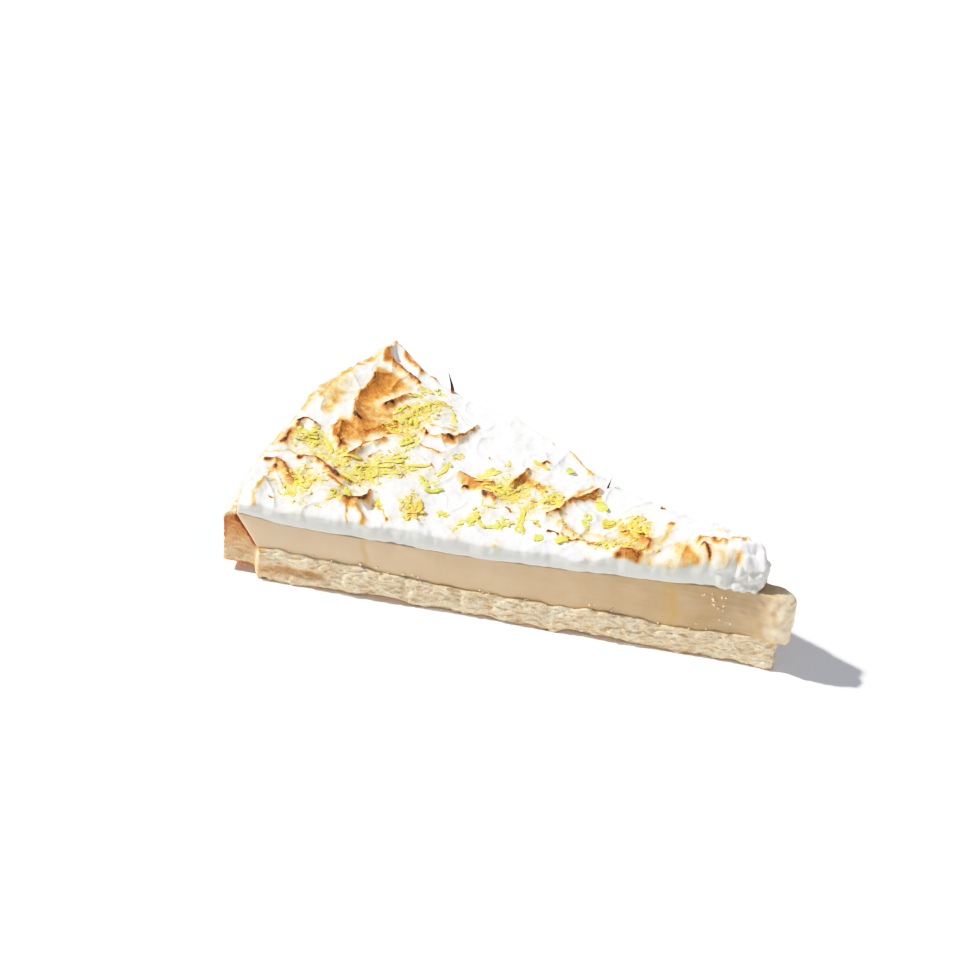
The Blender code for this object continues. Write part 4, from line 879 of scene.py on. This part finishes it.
def build_filling():
    rings = []
    for level in np.linspace(0, 1, round((FILLING_HEIGHT - BASE_THICKNESS) / WALL_STEP) + 1):
        wall_height = BASE_THICKNESS + GAP + (WALL_TOP_HEIGHT - BASE_THICKNESS - GAP) * level
        rim_radius = filling_rim_radius(wall_height)
        loop = outline(FILLING_STEP, FILLING_NOSE, lambda radius, across: FILLING_INSET,
                       lambda across: rim_radius)
        x, y = loop.T
        radius = from_centre(x, y)
        floor = base_top(x, y) + GAP
        height = floor + (filling_surface(x, y) - floor) * level
        nose = 1 - ease(2, 12, radius)
        bulge = 0.25 * math.sin(math.pi * level) + 0.2 * lumpy(x, y, height, 14.0, 41)
        bulge = bulge + nose * 0.35 * lumpy(x, y, height, 2.4, 43)
        bulge = bulge + (1 - ease(2, 6, radius)) * 0.25 * lumpy(x, y, height, 1.2, 44)
        bulge = bulge + 0.05 * lumpy(x / 5, y / 5, height, 0.9, 45) * (1 - ease(25, 60, radius))
        inner_wall = ease(rim_radius - 1.0, rim_radius, radius)
        spots = loop + outward(loop, 2) * (bulge * (1 - inner_wall))[:, None]
        rings.append(np.column_stack([spots, height]))
    grid = triangular_grid(rings[-1][:, :2], 0.7, 0.4)
    radius = from_centre(*grid.T)
    bare = grid[(radius < 14) | (radius > 131)]
    hidden = triangular_grid(rings[-1][:, :2], 6.0, 2.0)
    hidden_radius = from_centre(*hidden.T)
    hidden = hidden[(hidden_radius > 16) & (hidden_radius < 129)]
    return stacked_body("filling_lemon", rings, lifted(np.vstack([bare, hidden]), filling_surface))


def paint_filling(body):
    x, y, z = places(body)
    radius = from_centre(x, y)
    front = ease(-0.4, 0.4, -y / np.maximum(radius * HALF_SIN, 1) - 0.4)
    drip = np.zeros(x.shape)
    for place, width, strength in DRIPS:
        wander = place + 1.1 * lumpy(0, 0, z, 5.0, 47) + 0.16 * (z - 13)
        drip = np.maximum(drip, strength * np.exp(-((radius - wander) / width) ** 2))
    paint(body, "drip", drip * front)
    # The nose is painted paler: painted light, standing for sun and glow on the thin tip.
    paint(body, "tip", 1 - ease(2.0, 6.5, radius + 1.2 * lumpy(x, y, z, 2.0, 48)))
    edge = np.exp(-((z - base_top(x, y) - GAP) / 0.4) ** 2)
    paint(body, "edge", edge * ease(-0.5, 0.3, lumpy(x, y, 0, 3.0, 49)))


# Meringue

def meringue_rim_radius(across):
    """The meringue stops inside the bare rim at the front and laps over it at the back."""
    lapped = float(ease(-0.15, 0.25, across))
    return WALL_TOP_RADIUS - 0.5 + lapped * (2.3 + 0.6 * float(lumpy(across * 40, 0, 0, 2.2, 57)))


def meringue_inset(radius, across):
    """The cut meringue is ragged, and stands further back on the hidden cut."""
    ragged = 0.35 * float(lumpy(radius, across * 9, 0, 6.0, 51))
    ragged = ragged + 0.12 * float(lumpy(radius, across * 9, 0, 2.0, 53))
    return MERINGUE_INSET + ragged + (0.5 if across > 0 else 0.0)


def build_meringue():
    loop = outline(MERINGUE_STEP, MERINGUE_NOSE, meringue_inset, meringue_rim_radius)
    normals = outward(loop, 4)
    x, y = loop.T
    nose = 1 - ease(12, 26, from_centre(x, y))
    floor = filling_surface(x, y) + GAP
    thickness = meringue_thickness(x, y) * SHOULDER_START
    rings = []
    for level in np.linspace(0, 1, MERINGUE_LEVELS):
        height = floor + thickness * level
        bulge = 0.25 * math.sin(math.pi * level) + 0.3 * level * lumpy(x, y, height, 6.0, 61)
        bulge = bulge + 0.06 * lumpy(x, y, height, 1.6, 63)
        bulge = bulge + nose * 0.9 * lumpy(x, y, 1.2 * height, 3.2, 65)
        bulge = bulge + nose * 0.6 * lumpy(x, y, height, 1.4, 67)
        spots = loop + normals * (bulge + 0.1 * level)[:, None]
        rings.append(np.column_stack([spots, height]))
    top_loop = rings[-1][:, :2]
    x, y = top_loop.T
    rings[-1][:, 2] = filling_surface(x, y) + GAP + meringue_thickness(x, y) * SHOULDER_START
    turns = np.linspace(0, math.pi / 2, SHOULDER_STEPS + 1)[1:]
    shoulder = []
    for depth in SHOULDER * (1 - np.cos(turns)):
        ring = top_loop - normals * depth
        shoulder.append(ring[inside_distance(ring, top_loop) > 0.9 * depth])
    grid = triangular_grid(top_loop, MERINGUE_STEP, SHOULDER + 0.5 * MERINGUE_STEP)
    inner = np.vstack([*shoulder, grid])
    depth = np.maximum(inside_distance(inner, top_loop), 0)
    x, y = inner.T
    relief = torch_relief(x, y) * ease(0, 1.2, depth)
    height = filling_surface(x, y) + GAP + meringue_thickness(x, y) * shoulder_share(depth) + relief
    return stacked_body("meringue_torched", rings, np.column_stack([inner, height])), loop


def paint_meringue(body):
    x, y, z = places(body)
    share = (z - filling_surface(x, y)) / meringue_thickness(x, y)
    top = ease(0.62, 0.86, share)
    paint(body, "torch", torch_marks(x, y) * top)
    paint(body, "stain", zest_stain(x, y) * top)
    # The cut sides below the rounded top are marked to be greyed: painted shade on the cut faces.
    paint(body, "cut", 1 - ease(0.72, 0.9, share))


# Zest

def meringue_height(x, y):
    x, y = np.asarray(x, float), np.asarray(y, float)
    return filling_surface(x, y) + GAP + meringue_thickness(x, y)


def shred(spots, widths, lifts, thickness, roll):
    """Points and faces of one bent strip with soft edges, lying along flat spots."""
    along = np.gradient(spots, axis=0)
    along /= np.linalg.norm(along, axis=1, keepdims=True)
    height = meringue_height(*spots.T) + lifts
    turns = np.linspace(0, 2 * math.pi, ZEST_SIDES + 1)[:-1]
    flat, up = np.cos(turns), np.sin(turns)
    rings = []
    for (x, y), (along_x, along_y), width, level in zip(spots, along, widths, height):
        offset = flat * width / 2
        rise = up * thickness / 2 * (0.5 + 0.5 * np.abs(up)) + roll * (flat ** 2) * width * 0.25
        rings.append(np.stack([x - along_y * offset, y + along_x * offset, level + rise], axis=1))
    return np.vstack(rings), tube(ZEST_SIDES, len(rings))


def strewn(draw, counts, spread, swing, lengths, widths, bend):
    """Strips strewn over the heaps, as length, width, heading, place, bend and tone."""
    strips = []
    for (x, y, reach_along, reach_across, direction, _, tone), count in zip(ZEST_HEAPS, counts):
        turn = math.radians(direction)
        for _ in range(count):
            along, across = draw.gauss(0, spread) * reach_along, draw.gauss(0, spread) * reach_across
            place = (x + along * math.cos(turn) - across * math.sin(turn),
                     y + along * math.sin(turn) + across * math.cos(turn))
            heading = turn + math.radians(draw.gauss(0, swing))
            strips.append((draw.uniform(*lengths), draw.uniform(*widths), heading, place,
                           draw.gauss(0, bend), tone))
    return strips


def wanted_zest():
    """Shreds in the part's order, then leaves and flakes."""
    draw = random.Random(ZEST_SEED)
    counts = [heap[5] for heap in ZEST_HEAPS]
    shreds = strewn(draw, counts, 0.55, 35, ZEST_LENGTH, ZEST_WIDTH, 0.5)
    leaves = [(length, width, math.radians(turn), (x, y), 0.0, tone)
              for x, y, length, width, turn, tone in ZEST_LEAVES]
    flake_counts = [2 + round(count * FLAKES_PER_SHRED) for count in counts]
    return shreds, leaves, strewn(draw, flake_counts, 0.75, 90, FLAKE_LENGTH, FLAKE_WIDTH, 0.3)


def build_zest(loop):
    draw = random.Random(ZEST_BUILD_SEED)
    parts, tones, ends = [], [], []
    for group, (rings, lift, depth) in zip(wanted_zest(), (SHRED_BUILD, LEAF_BUILD, FLAKE_BUILD)):
        shares = np.linspace(-0.5, 0.5, rings)
        taper = np.sqrt(np.clip(1 - (2 * np.abs(shares)) ** 5, 0.2, 1))
        for length, width, heading, place, bend, tone in group:
            along = np.array([math.cos(heading), math.sin(heading)])
            aside = np.array([-math.sin(heading), math.cos(heading)])
            path = np.array([place + along * length * share + aside * bend * (1 - 4 * share ** 2)
                             for share in shares])
            if inside_distance(path, loop).min() < ZEST_EDGE_CLEARANCE:
                continue
            widths = width * taper * np.array([draw.uniform(0.6, 1.2) for _ in shares])
            lifts = draw.uniform(*lift) + draw.gauss(0.05, 0.2) * (2 * np.abs(shares)) ** 2
            thickness = ZEST_THICKNESS * depth * draw.uniform(0.7, 1.2)
            parts.append(shred(path, widths, lifts, thickness, draw.uniform(-0.4, 0.4)))
            tones.append(np.full(rings * ZEST_SIDES, tone + draw.gauss(0, 0.22)))
            ends.append(np.repeat(np.abs(shares) * 2, ZEST_SIDES))
    body = joined("zest_shreds", parts)
    paint(body, "tone", np.clip(np.concatenate(tones), 0, 1))
    paint(body, "end", np.concatenate(ends))
    return body


# Burnt wisps

def build_wisps():
    parts, chars = [], []
    for x, y, height, lean_x, lean_y, width in WISPS:
        base = float(meringue_height(x, y)) - WISP_ROOT
        spots = []
        for step in range(WISP_STEPS):
            share = step / (WISP_STEPS - 1)
            radius = width / 2 * (1.4 - 1.25 * share ** 0.8)
            bend = 0.25 * math.sin(5 * share)
            for side in range(WISP_SIDES):
                turn = 2 * math.pi * side / WISP_SIDES
                spots.append((x + lean_x * share ** 1.6 + bend * 0.4 + radius * math.cos(turn) * 0.7,
                              y + lean_y * share ** 1.6 + radius * math.sin(turn),
                              base + (height + WISP_ROOT) * share))
                chars.append(0.35 + 0.85 * float(ease(0.1, 0.5, share)))
        parts.append((spots, tube(WISP_SIDES, WISP_STEPS)))
    body = joined("burnt_wisps", parts)
    paint(body, "torch", chars)
    for blank in ("stain", "cut"):
        paint(body, blank, np.zeros(len(chars)))
    return body


# Crumbs on the cuts

def crumb(centre, size, seed):
    """Points and faces of a small knobbly crumb."""
    rows, columns = 4, 7
    spots = [(0, 0, -1)]
    for row in range(1, rows):
        polar = math.pi * row / rows
        for column in range(columns):
            turn, reach = 2 * math.pi * column / columns, math.sin(polar)
            spots.append((reach * math.cos(turn), reach * math.sin(turn), -math.cos(polar)))
    spots = np.array([*spots, (0, 0, 1)])
    knobs = 1 + 0.35 * lumpy(spots[:, 0] + seed, spots[:, 1], spots[:, 2], 1.1, seed)
    faces = bands(columns, rows - 1, 1)
    last = 1 + (rows - 2) * columns
    for column in range(columns):
        following = (column + 1) % columns
        faces.append((0, 1 + following, 1 + column))
        faces.append((last + column, last + following, last + columns))
    return spots * knobs[:, None] * size + centre, faces


def on_front_cut(radius, height, proud):
    """A point on the front cut at a distance from the tart's centre."""
    x = CENTRE_X - radius * HALF_COS + proud * HALF_SIN
    y = -radius * HALF_SIN - proud * HALF_COS
    return np.array([x, y, height])


def build_crumbs():
    draw = random.Random(CRUMB_SEED)
    crumbs = [(draw.gauss(17, 5), draw.uniform(9.5, 21.5), draw.uniform(0.12, 0.38), -0.62)
              for _ in range(NOSE_CRUMBS)]
    for _ in range(BASE_CRUMBS):
        radius = draw.uniform(6, 129)
        height = float(np.interp(radius, *zip(*BASE_TOP))) + 0.2 + abs(draw.gauss(0, 0.9))
        crumbs.append((radius, height, draw.uniform(0.12, 0.34), -0.6))
    return joined("crumbs_pale", [crumb(on_front_cut(max(radius, 5.0), height, proud), size, index * 1.7)
                                  for index, (radius, height, size, proud) in enumerate(crumbs)])


# Materials

class Recipe:
    """A Principled material with short calls for the nodes that it needs."""

    def __init__(self, name, **values):
        self.material = bpy.data.materials.new(name)
        self.material.use_nodes = True
        self.tree = self.material.node_tree
        self.shader = self.tree.nodes["Principled BSDF"]
        for socket, value in values.items():
            self.shader.inputs[socket.replace("_", " ")].default_value = value
        self.place = self.tree.nodes.new("ShaderNodeTexCoord").outputs["Object"]

    def node(self, kind, links=None, **settings):
        made = self.tree.nodes.new(kind)
        for key, value in settings.items():
            setattr(made, key, value)
        for socket, source in (links or {}).items():
            if isinstance(source, bpy.types.NodeSocket):
                self.tree.links.new(source, made.inputs[socket])
            else:
                made.inputs[socket].default_value = source
        return made

    def painted(self, name):
        return self.node("ShaderNodeAttribute", attribute_name=name).outputs["Fac"]

    def grain(self, size, detail=3.0, roughness=0.6, stretch=(1, 1, 1)):
        """Noise from 0 to 1 with grains of a size in millimetres."""
        scaled = self.node("ShaderNodeMapping", {"Vector": self.place, "Scale": stretch}).outputs["Vector"]
        values = {"Vector": scaled, "Scale": 1 / (size * MM), "Detail": detail, "Roughness": roughness}
        return self.node("ShaderNodeTexNoise", values).outputs["Fac"]

    def combine(self, operation, first, second, clamp=False):
        made = self.node("ShaderNodeMath", {0: first, 1: second}, operation=operation, use_clamp=clamp)
        return made.outputs[0]

    def spread(self, value, low, high, start, end):
        """Maps low..high to start..end."""
        values = {"Value": value, "From Min": low, "From Max": high, "To Min": start, "To Max": end}
        return self.node("ShaderNodeMapRange", values).outputs["Result"]

    def ramp(self, value, stops):
        made = self.node("ShaderNodeValToRGB", {"Fac": value})
        elements = made.color_ramp.elements
        while len(elements) < len(stops):
            elements.new(0.5)
        for element, (position, colour) in zip(elements, stops):
            element.position = position
            element.color = (*colour, 1)
        return made.outputs["Color"]

    def mix(self, share, first, second, blend="MIX"):
        first, second = ((*colour, 1) if isinstance(colour, tuple) else colour for colour in (first, second))
        links = {0: share, 6: first, 7: second}
        return self.node("ShaderNodeMix", links, data_type="RGBA", blend_type=blend).outputs[2]

    def use(self, socket, source):
        self.tree.links.new(source, self.shader.inputs[socket])

    def bump(self, height, depth, strength):
        """Relief of a depth in millimetres."""
        made = self.node("ShaderNodeBump", {"Height": height, "Strength": strength, "Distance": depth * MM})
        self.use("Normal", made.outputs["Normal"])


# Colours: stops along a ramp, or single tints
TORCH_COLOURS = ((0, (0.925, 0.915, 0.885)), (0.12, (0.89, 0.82, 0.67)), (0.24, (0.82, 0.59, 0.32)),
                 (0.36, (0.76, 0.385, 0.095)), (0.5, (0.64, 0.235, 0.026)), (0.64, (0.39, 0.115, 0.018)),
                 (0.8, (0.14, 0.04, 0.012)), (0.95, (0.03, 0.014, 0.01)))
JUICE_COLOURS = ((0.4, (0.8, 0.62, 0.14)), (0.6, (0.74, 0.46, 0.08)))
# Grey multiplied over the meringue's cut sides: painted shade
CUT_SHADE_COLOUR = (0.73, 0.74, 0.7)
ZEST_COLOURS = ((0, (0.84, 0.45, 0.05)), (0.3, (0.87, 0.62, 0.07)), (0.6, (0.82, 0.69, 0.09)),
                (1, (0.6, 0.63, 0.06)))
PITH_COLOUR = (0.9, 0.82, 0.42)
FILLING_COLOURS = ((0, (0.72, 0.54, 0.35)), (0.5, (0.655, 0.47, 0.27)), (0.84, (0.54, 0.35, 0.145)),
                   (0.93, (0.43, 0.27, 0.11)))
SMEAR_COLOUR = (0.7, 0.52, 0.31)
CLOUD_COLOUR = (0.76, 0.62, 0.44)
LIT_TIP_COLOUR = (0.78, 0.64, 0.44)
DRIP_COLOUR = (0.62, 0.38, 0.08)
EDGE_COLOUR = (0.64, 0.38, 0.08)
CRUST_COLOURS = ((0, (0.92, 0.85, 0.7)), (0.08, (0.86, 0.74, 0.53)), (0.18, (0.76, 0.58, 0.36)),
                 (0.34, (0.76, 0.44, 0.19)), (0.5, (0.68, 0.28, 0.08)), (0.68, (0.44, 0.11, 0.025)),
                 (0.85, (0.22, 0.045, 0.014)), (1, (0.1, 0.03, 0.012)))
# Darker brown for the pits and crevices, painted shade, and for the dashed line along the base's top
PIT_SHADE_AND_LINE_COLOUR = (0.56, 0.34, 0.11)
CRUMB_COLOURS = ((0.3, (0.72, 0.54, 0.32)), (0.7, (0.82, 0.7, 0.48)))
FLOOR_COLOURS = ((0, (0.97, 0.97, 0.97)), (1, (0.99, 0.99, 0.99)))


def meringue_material():
    recipe = Recipe("torched_meringue", Roughness=0.55, Subsurface_Weight=0.25, Subsurface_Scale=0.0012,
                    Specular_IOR_Level=0.35)
    speckle = recipe.spread(recipe.grain(0.4, 4.0, 0.7), 0.3, 0.7, -0.3, 0.3)
    torch = recipe.painted("torch")
    mottled = recipe.combine("ADD", recipe.combine("MULTIPLY", speckle, torch), torch)
    toasted = recipe.ramp(mottled, TORCH_COLOURS)
    strands = recipe.spread(recipe.grain(1.3, 4.0, 0.7), 0.40, 0.58, 0.35, 1.2)
    stain = recipe.combine("MULTIPLY", recipe.painted("stain"), strands, True)
    colour = recipe.mix(stain, toasted, recipe.ramp(recipe.grain(1.8), JUICE_COLOURS), "MULTIPLY")
    # The cut sides are multiplied grey: painted shade on the cut faces.
    recipe.use("Base Color", recipe.mix(recipe.painted("cut"), colour, CUT_SHADE_COLOUR, "MULTIPLY"))
    recipe.bump(recipe.grain(0.8, 5.0), 0.10, 0.6)
    return recipe.material


def zest_material():
    recipe = Recipe("citrus_zest", Roughness=0.5, Subsurface_Weight=0.2, Subsurface_Scale=0.0005,
                    Subsurface_Radius=(1.0, 1.0, 0.6), Specular_IOR_Level=0.25)
    varied = recipe.spread(recipe.grain(0.9), 0.3, 0.7, -0.28, 0.22)
    colour = recipe.ramp(recipe.combine("ADD", recipe.painted("tone"), varied, True), ZEST_COLOURS)
    pale = recipe.combine("ADD", recipe.spread(recipe.painted("end"), 0.6, 1.0, 0.0, 0.3),
                          recipe.spread(recipe.grain(1.4), 0.35, 0.7, -0.25, 0.5), True)
    recipe.use("Base Color", recipe.mix(pale, colour, PITH_COLOUR))
    recipe.bump(recipe.grain(0.35), 0.05, 0.7)
    return recipe.material


def filling_material():
    recipe = Recipe("lemon_filling", Roughness=0.42, Subsurface_Weight=0.35, Subsurface_Scale=0.002,
                    Specular_IOR_Level=0.4)
    along = recipe.node("ShaderNodeSeparateXYZ", {"Vector": recipe.place}).outputs["X"]
    share = recipe.spread(along, -0.066, 0.066, 0.0, 1.0)
    # The colour darkens along X towards the point; its last, darkest stop is painted shade on the front cut
    # near the nose, where the sun grazes it.
    body = recipe.ramp(share, FILLING_COLOURS)
    smears = recipe.spread(recipe.grain(1.2, 4.0, 0.6, (0.15, 0.15, 1.6)), 0.3, 0.7, 0.0, 0.30)
    body = recipe.mix(smears, body, SMEAR_COLOUR)
    clouds = recipe.spread(recipe.grain(7.0, 2.0), 0.35, 0.65, 0.0, 0.22)
    body = recipe.mix(clouds, body, CLOUD_COLOUR)
    # The nose is mixed towards a paler colour: painted light on the tip.
    patchy = recipe.spread(recipe.grain(1.2), 0.3, 0.7, 0.75, 1.1)
    lit = recipe.combine("MULTIPLY", recipe.painted("tip"), patchy, True)
    body = recipe.mix(lit, body, LIT_TIP_COLOUR)
    streaky = recipe.spread(recipe.grain(0.8), 0.3, 0.7, 0.5, 1.0)
    drip = recipe.combine("MULTIPLY", recipe.painted("drip"), streaky, True)
    body = recipe.mix(drip, body, DRIP_COLOUR)
    edge = recipe.combine("MULTIPLY", recipe.painted("edge"), 0.75, True)
    recipe.use("Base Color", recipe.mix(edge, body, EDGE_COLOUR))
    recipe.bump(recipe.grain(2.2, 4.0, 0.5, (0.3, 0.3, 1.0)), 0.10, 0.5)
    return recipe.material


def crust_material():
    recipe = Recipe("baked_crust", Roughness=0.75, Specular_IOR_Level=0.25, Subsurface_Weight=0.1,
                    Subsurface_Scale=0.001)
    grain = recipe.spread(recipe.grain(0.45, 5.0, 0.8), 0.3, 0.7, -0.16, 0.16)
    bake = recipe.combine("ADD", recipe.painted("bake"), grain, True)
    # Pits and crevices are mixed towards a darker brown: painted shade in the holes, together with the dashed
    # line along the base's top.
    pit_shade_and_line = recipe.combine("MULTIPLY", recipe.painted("pit_shade_and_line"), 0.6, True)
    recipe.use("Base Color", recipe.mix(pit_shade_and_line, recipe.ramp(bake, CRUST_COLOURS), PIT_SHADE_AND_LINE_COLOUR))
    recipe.bump(recipe.grain(0.7, 7.0, 0.8), 0.22, 0.9)
    return recipe.material


def crumb_material():
    recipe = Recipe("pale_crumbs", Roughness=0.6, Subsurface_Weight=0.2, Subsurface_Scale=0.0005)
    recipe.use("Base Color", recipe.ramp(recipe.grain(0.6), CRUMB_COLOURS))
    recipe.bump(recipe.grain(0.3), 0.05, 0.6)
    return recipe.material


def floor_material():
    recipe = Recipe("white_sweep", Roughness=0.8, Specular_IOR_Level=0.0)
    recipe.use("Base Color", recipe.ramp(recipe.grain(60.0), FLOOR_COLOURS))
    return recipe.material


# Studio

def add_floor():
    corners = [(x * FLOOR_REACH, y * FLOOR_REACH, 0) for x, y in ((-1, -1), (1, -1), (1, 1), (-1, 1))]
    floor = make_object("floor", corners, [(0, 1, 2, 3)], None)
    floor.data.materials.append(floor_material())


def add_light():
    sun = bpy.data.lights.new("sun", "SUN")
    sun.energy = SUN_STRENGTH
    sun.angle = SUN_BLUR
    sun.color = SUN_COLOUR
    lamp = bpy.data.objects.new("sun", sun)
    lamp.rotation_euler = Vector(SUN_DIRECTION).to_track_quat("-Z", "Y").to_euler()
    bpy.context.scene.collection.objects.link(lamp)
    world = bpy.data.worlds.new("room")
    bpy.context.scene.world = world
    world.use_nodes = True
    nodes, links = world.node_tree.nodes, world.node_tree.links
    room = nodes["Background"]
    room.inputs["Color"].default_value = (*ROOM_COLOUR, 1)
    seen = nodes.new("ShaderNodeBackground")
    seen.inputs["Color"].default_value = (*BACKGROUND_COLOUR, 1)
    ray = nodes.new("ShaderNodeLightPath")
    mix = nodes.new("ShaderNodeMixShader")
    links.new(ray.outputs["Is Camera Ray"], mix.inputs["Fac"])
    links.new(room.outputs["Background"], mix.inputs[1])
    links.new(seen.outputs["Background"], mix.inputs[2])
    links.new(mix.outputs["Shader"], nodes["World Output"].inputs["Surface"])


def add_film():
    """Whites keep their detail: the response bends over instead of cutting them off."""
    view = bpy.context.scene.view_settings
    view.view_transform = "Standard"
    view.use_curve_mapping = True
    view.curve_mapping.white_level = (BRIGHTEST, BRIGHTEST, BRIGHTEST)
    curve = view.curve_mapping.curves[3]
    for brightness, shown in FILM_RESPONSE:
        curve.points.new(brightness / BRIGHTEST, shown)
    view.curve_mapping.update()


def add_camera():
    back = Vector((math.sin(VIEW_AZIMUTH) * math.cos(VIEW_ELEVATION),
                   -math.cos(VIEW_AZIMUTH) * math.cos(VIEW_ELEVATION), math.sin(VIEW_ELEVATION)))
    right = Vector((0, 0, 1)).cross(back).normalized()
    up = back.cross(right)
    turned_right = right * math.cos(VIEW_ROLL) + up * math.sin(VIEW_ROLL)
    turned_up = up * math.cos(VIEW_ROLL) - right * math.sin(VIEW_ROLL)
    lens = bpy.data.cameras.new("camera")
    lens.lens = LENS
    lens.sensor_width = SENSOR
    lens.clip_start = NEAREST_SEEN
    camera = bpy.data.objects.new("camera", lens)
    axes = Matrix((turned_right, turned_up, back)).transposed().to_4x4()
    camera.matrix_world = Matrix.Translation((Vector(VIEW_TARGET) + back * VIEW_DISTANCE) * MM) @ axes
    bpy.context.scene.collection.objects.link(camera)
    bpy.context.scene.camera = camera


def add_piece(body, material, slot, *nodes):
    body.data.materials.append(material)
    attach(body, "root")
    if nodes:
        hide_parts(*nodes)


def main():
    crust, crevices = build_crust()
    paint_crust(crust, crevices)
    add_piece(crust, crust_material(), "crust", "crust")
    filling = build_filling()
    paint_filling(filling)
    add_piece(filling, filling_material(), "filling", "filling")
    meringue, loop = build_meringue()
    paint_meringue(meringue)
    torched = meringue_material()
    add_piece(meringue, torched, "meringue", "meringue")
    add_piece(build_zest(loop), zest_material(), "zest", "meringue")
    add_piece(build_wisps(), torched, "meringue", "meringue")
    add_piece(build_crumbs(), crumb_material(), "crust")
    add_floor()
    add_light()
    add_film()
    add_camera()


main()
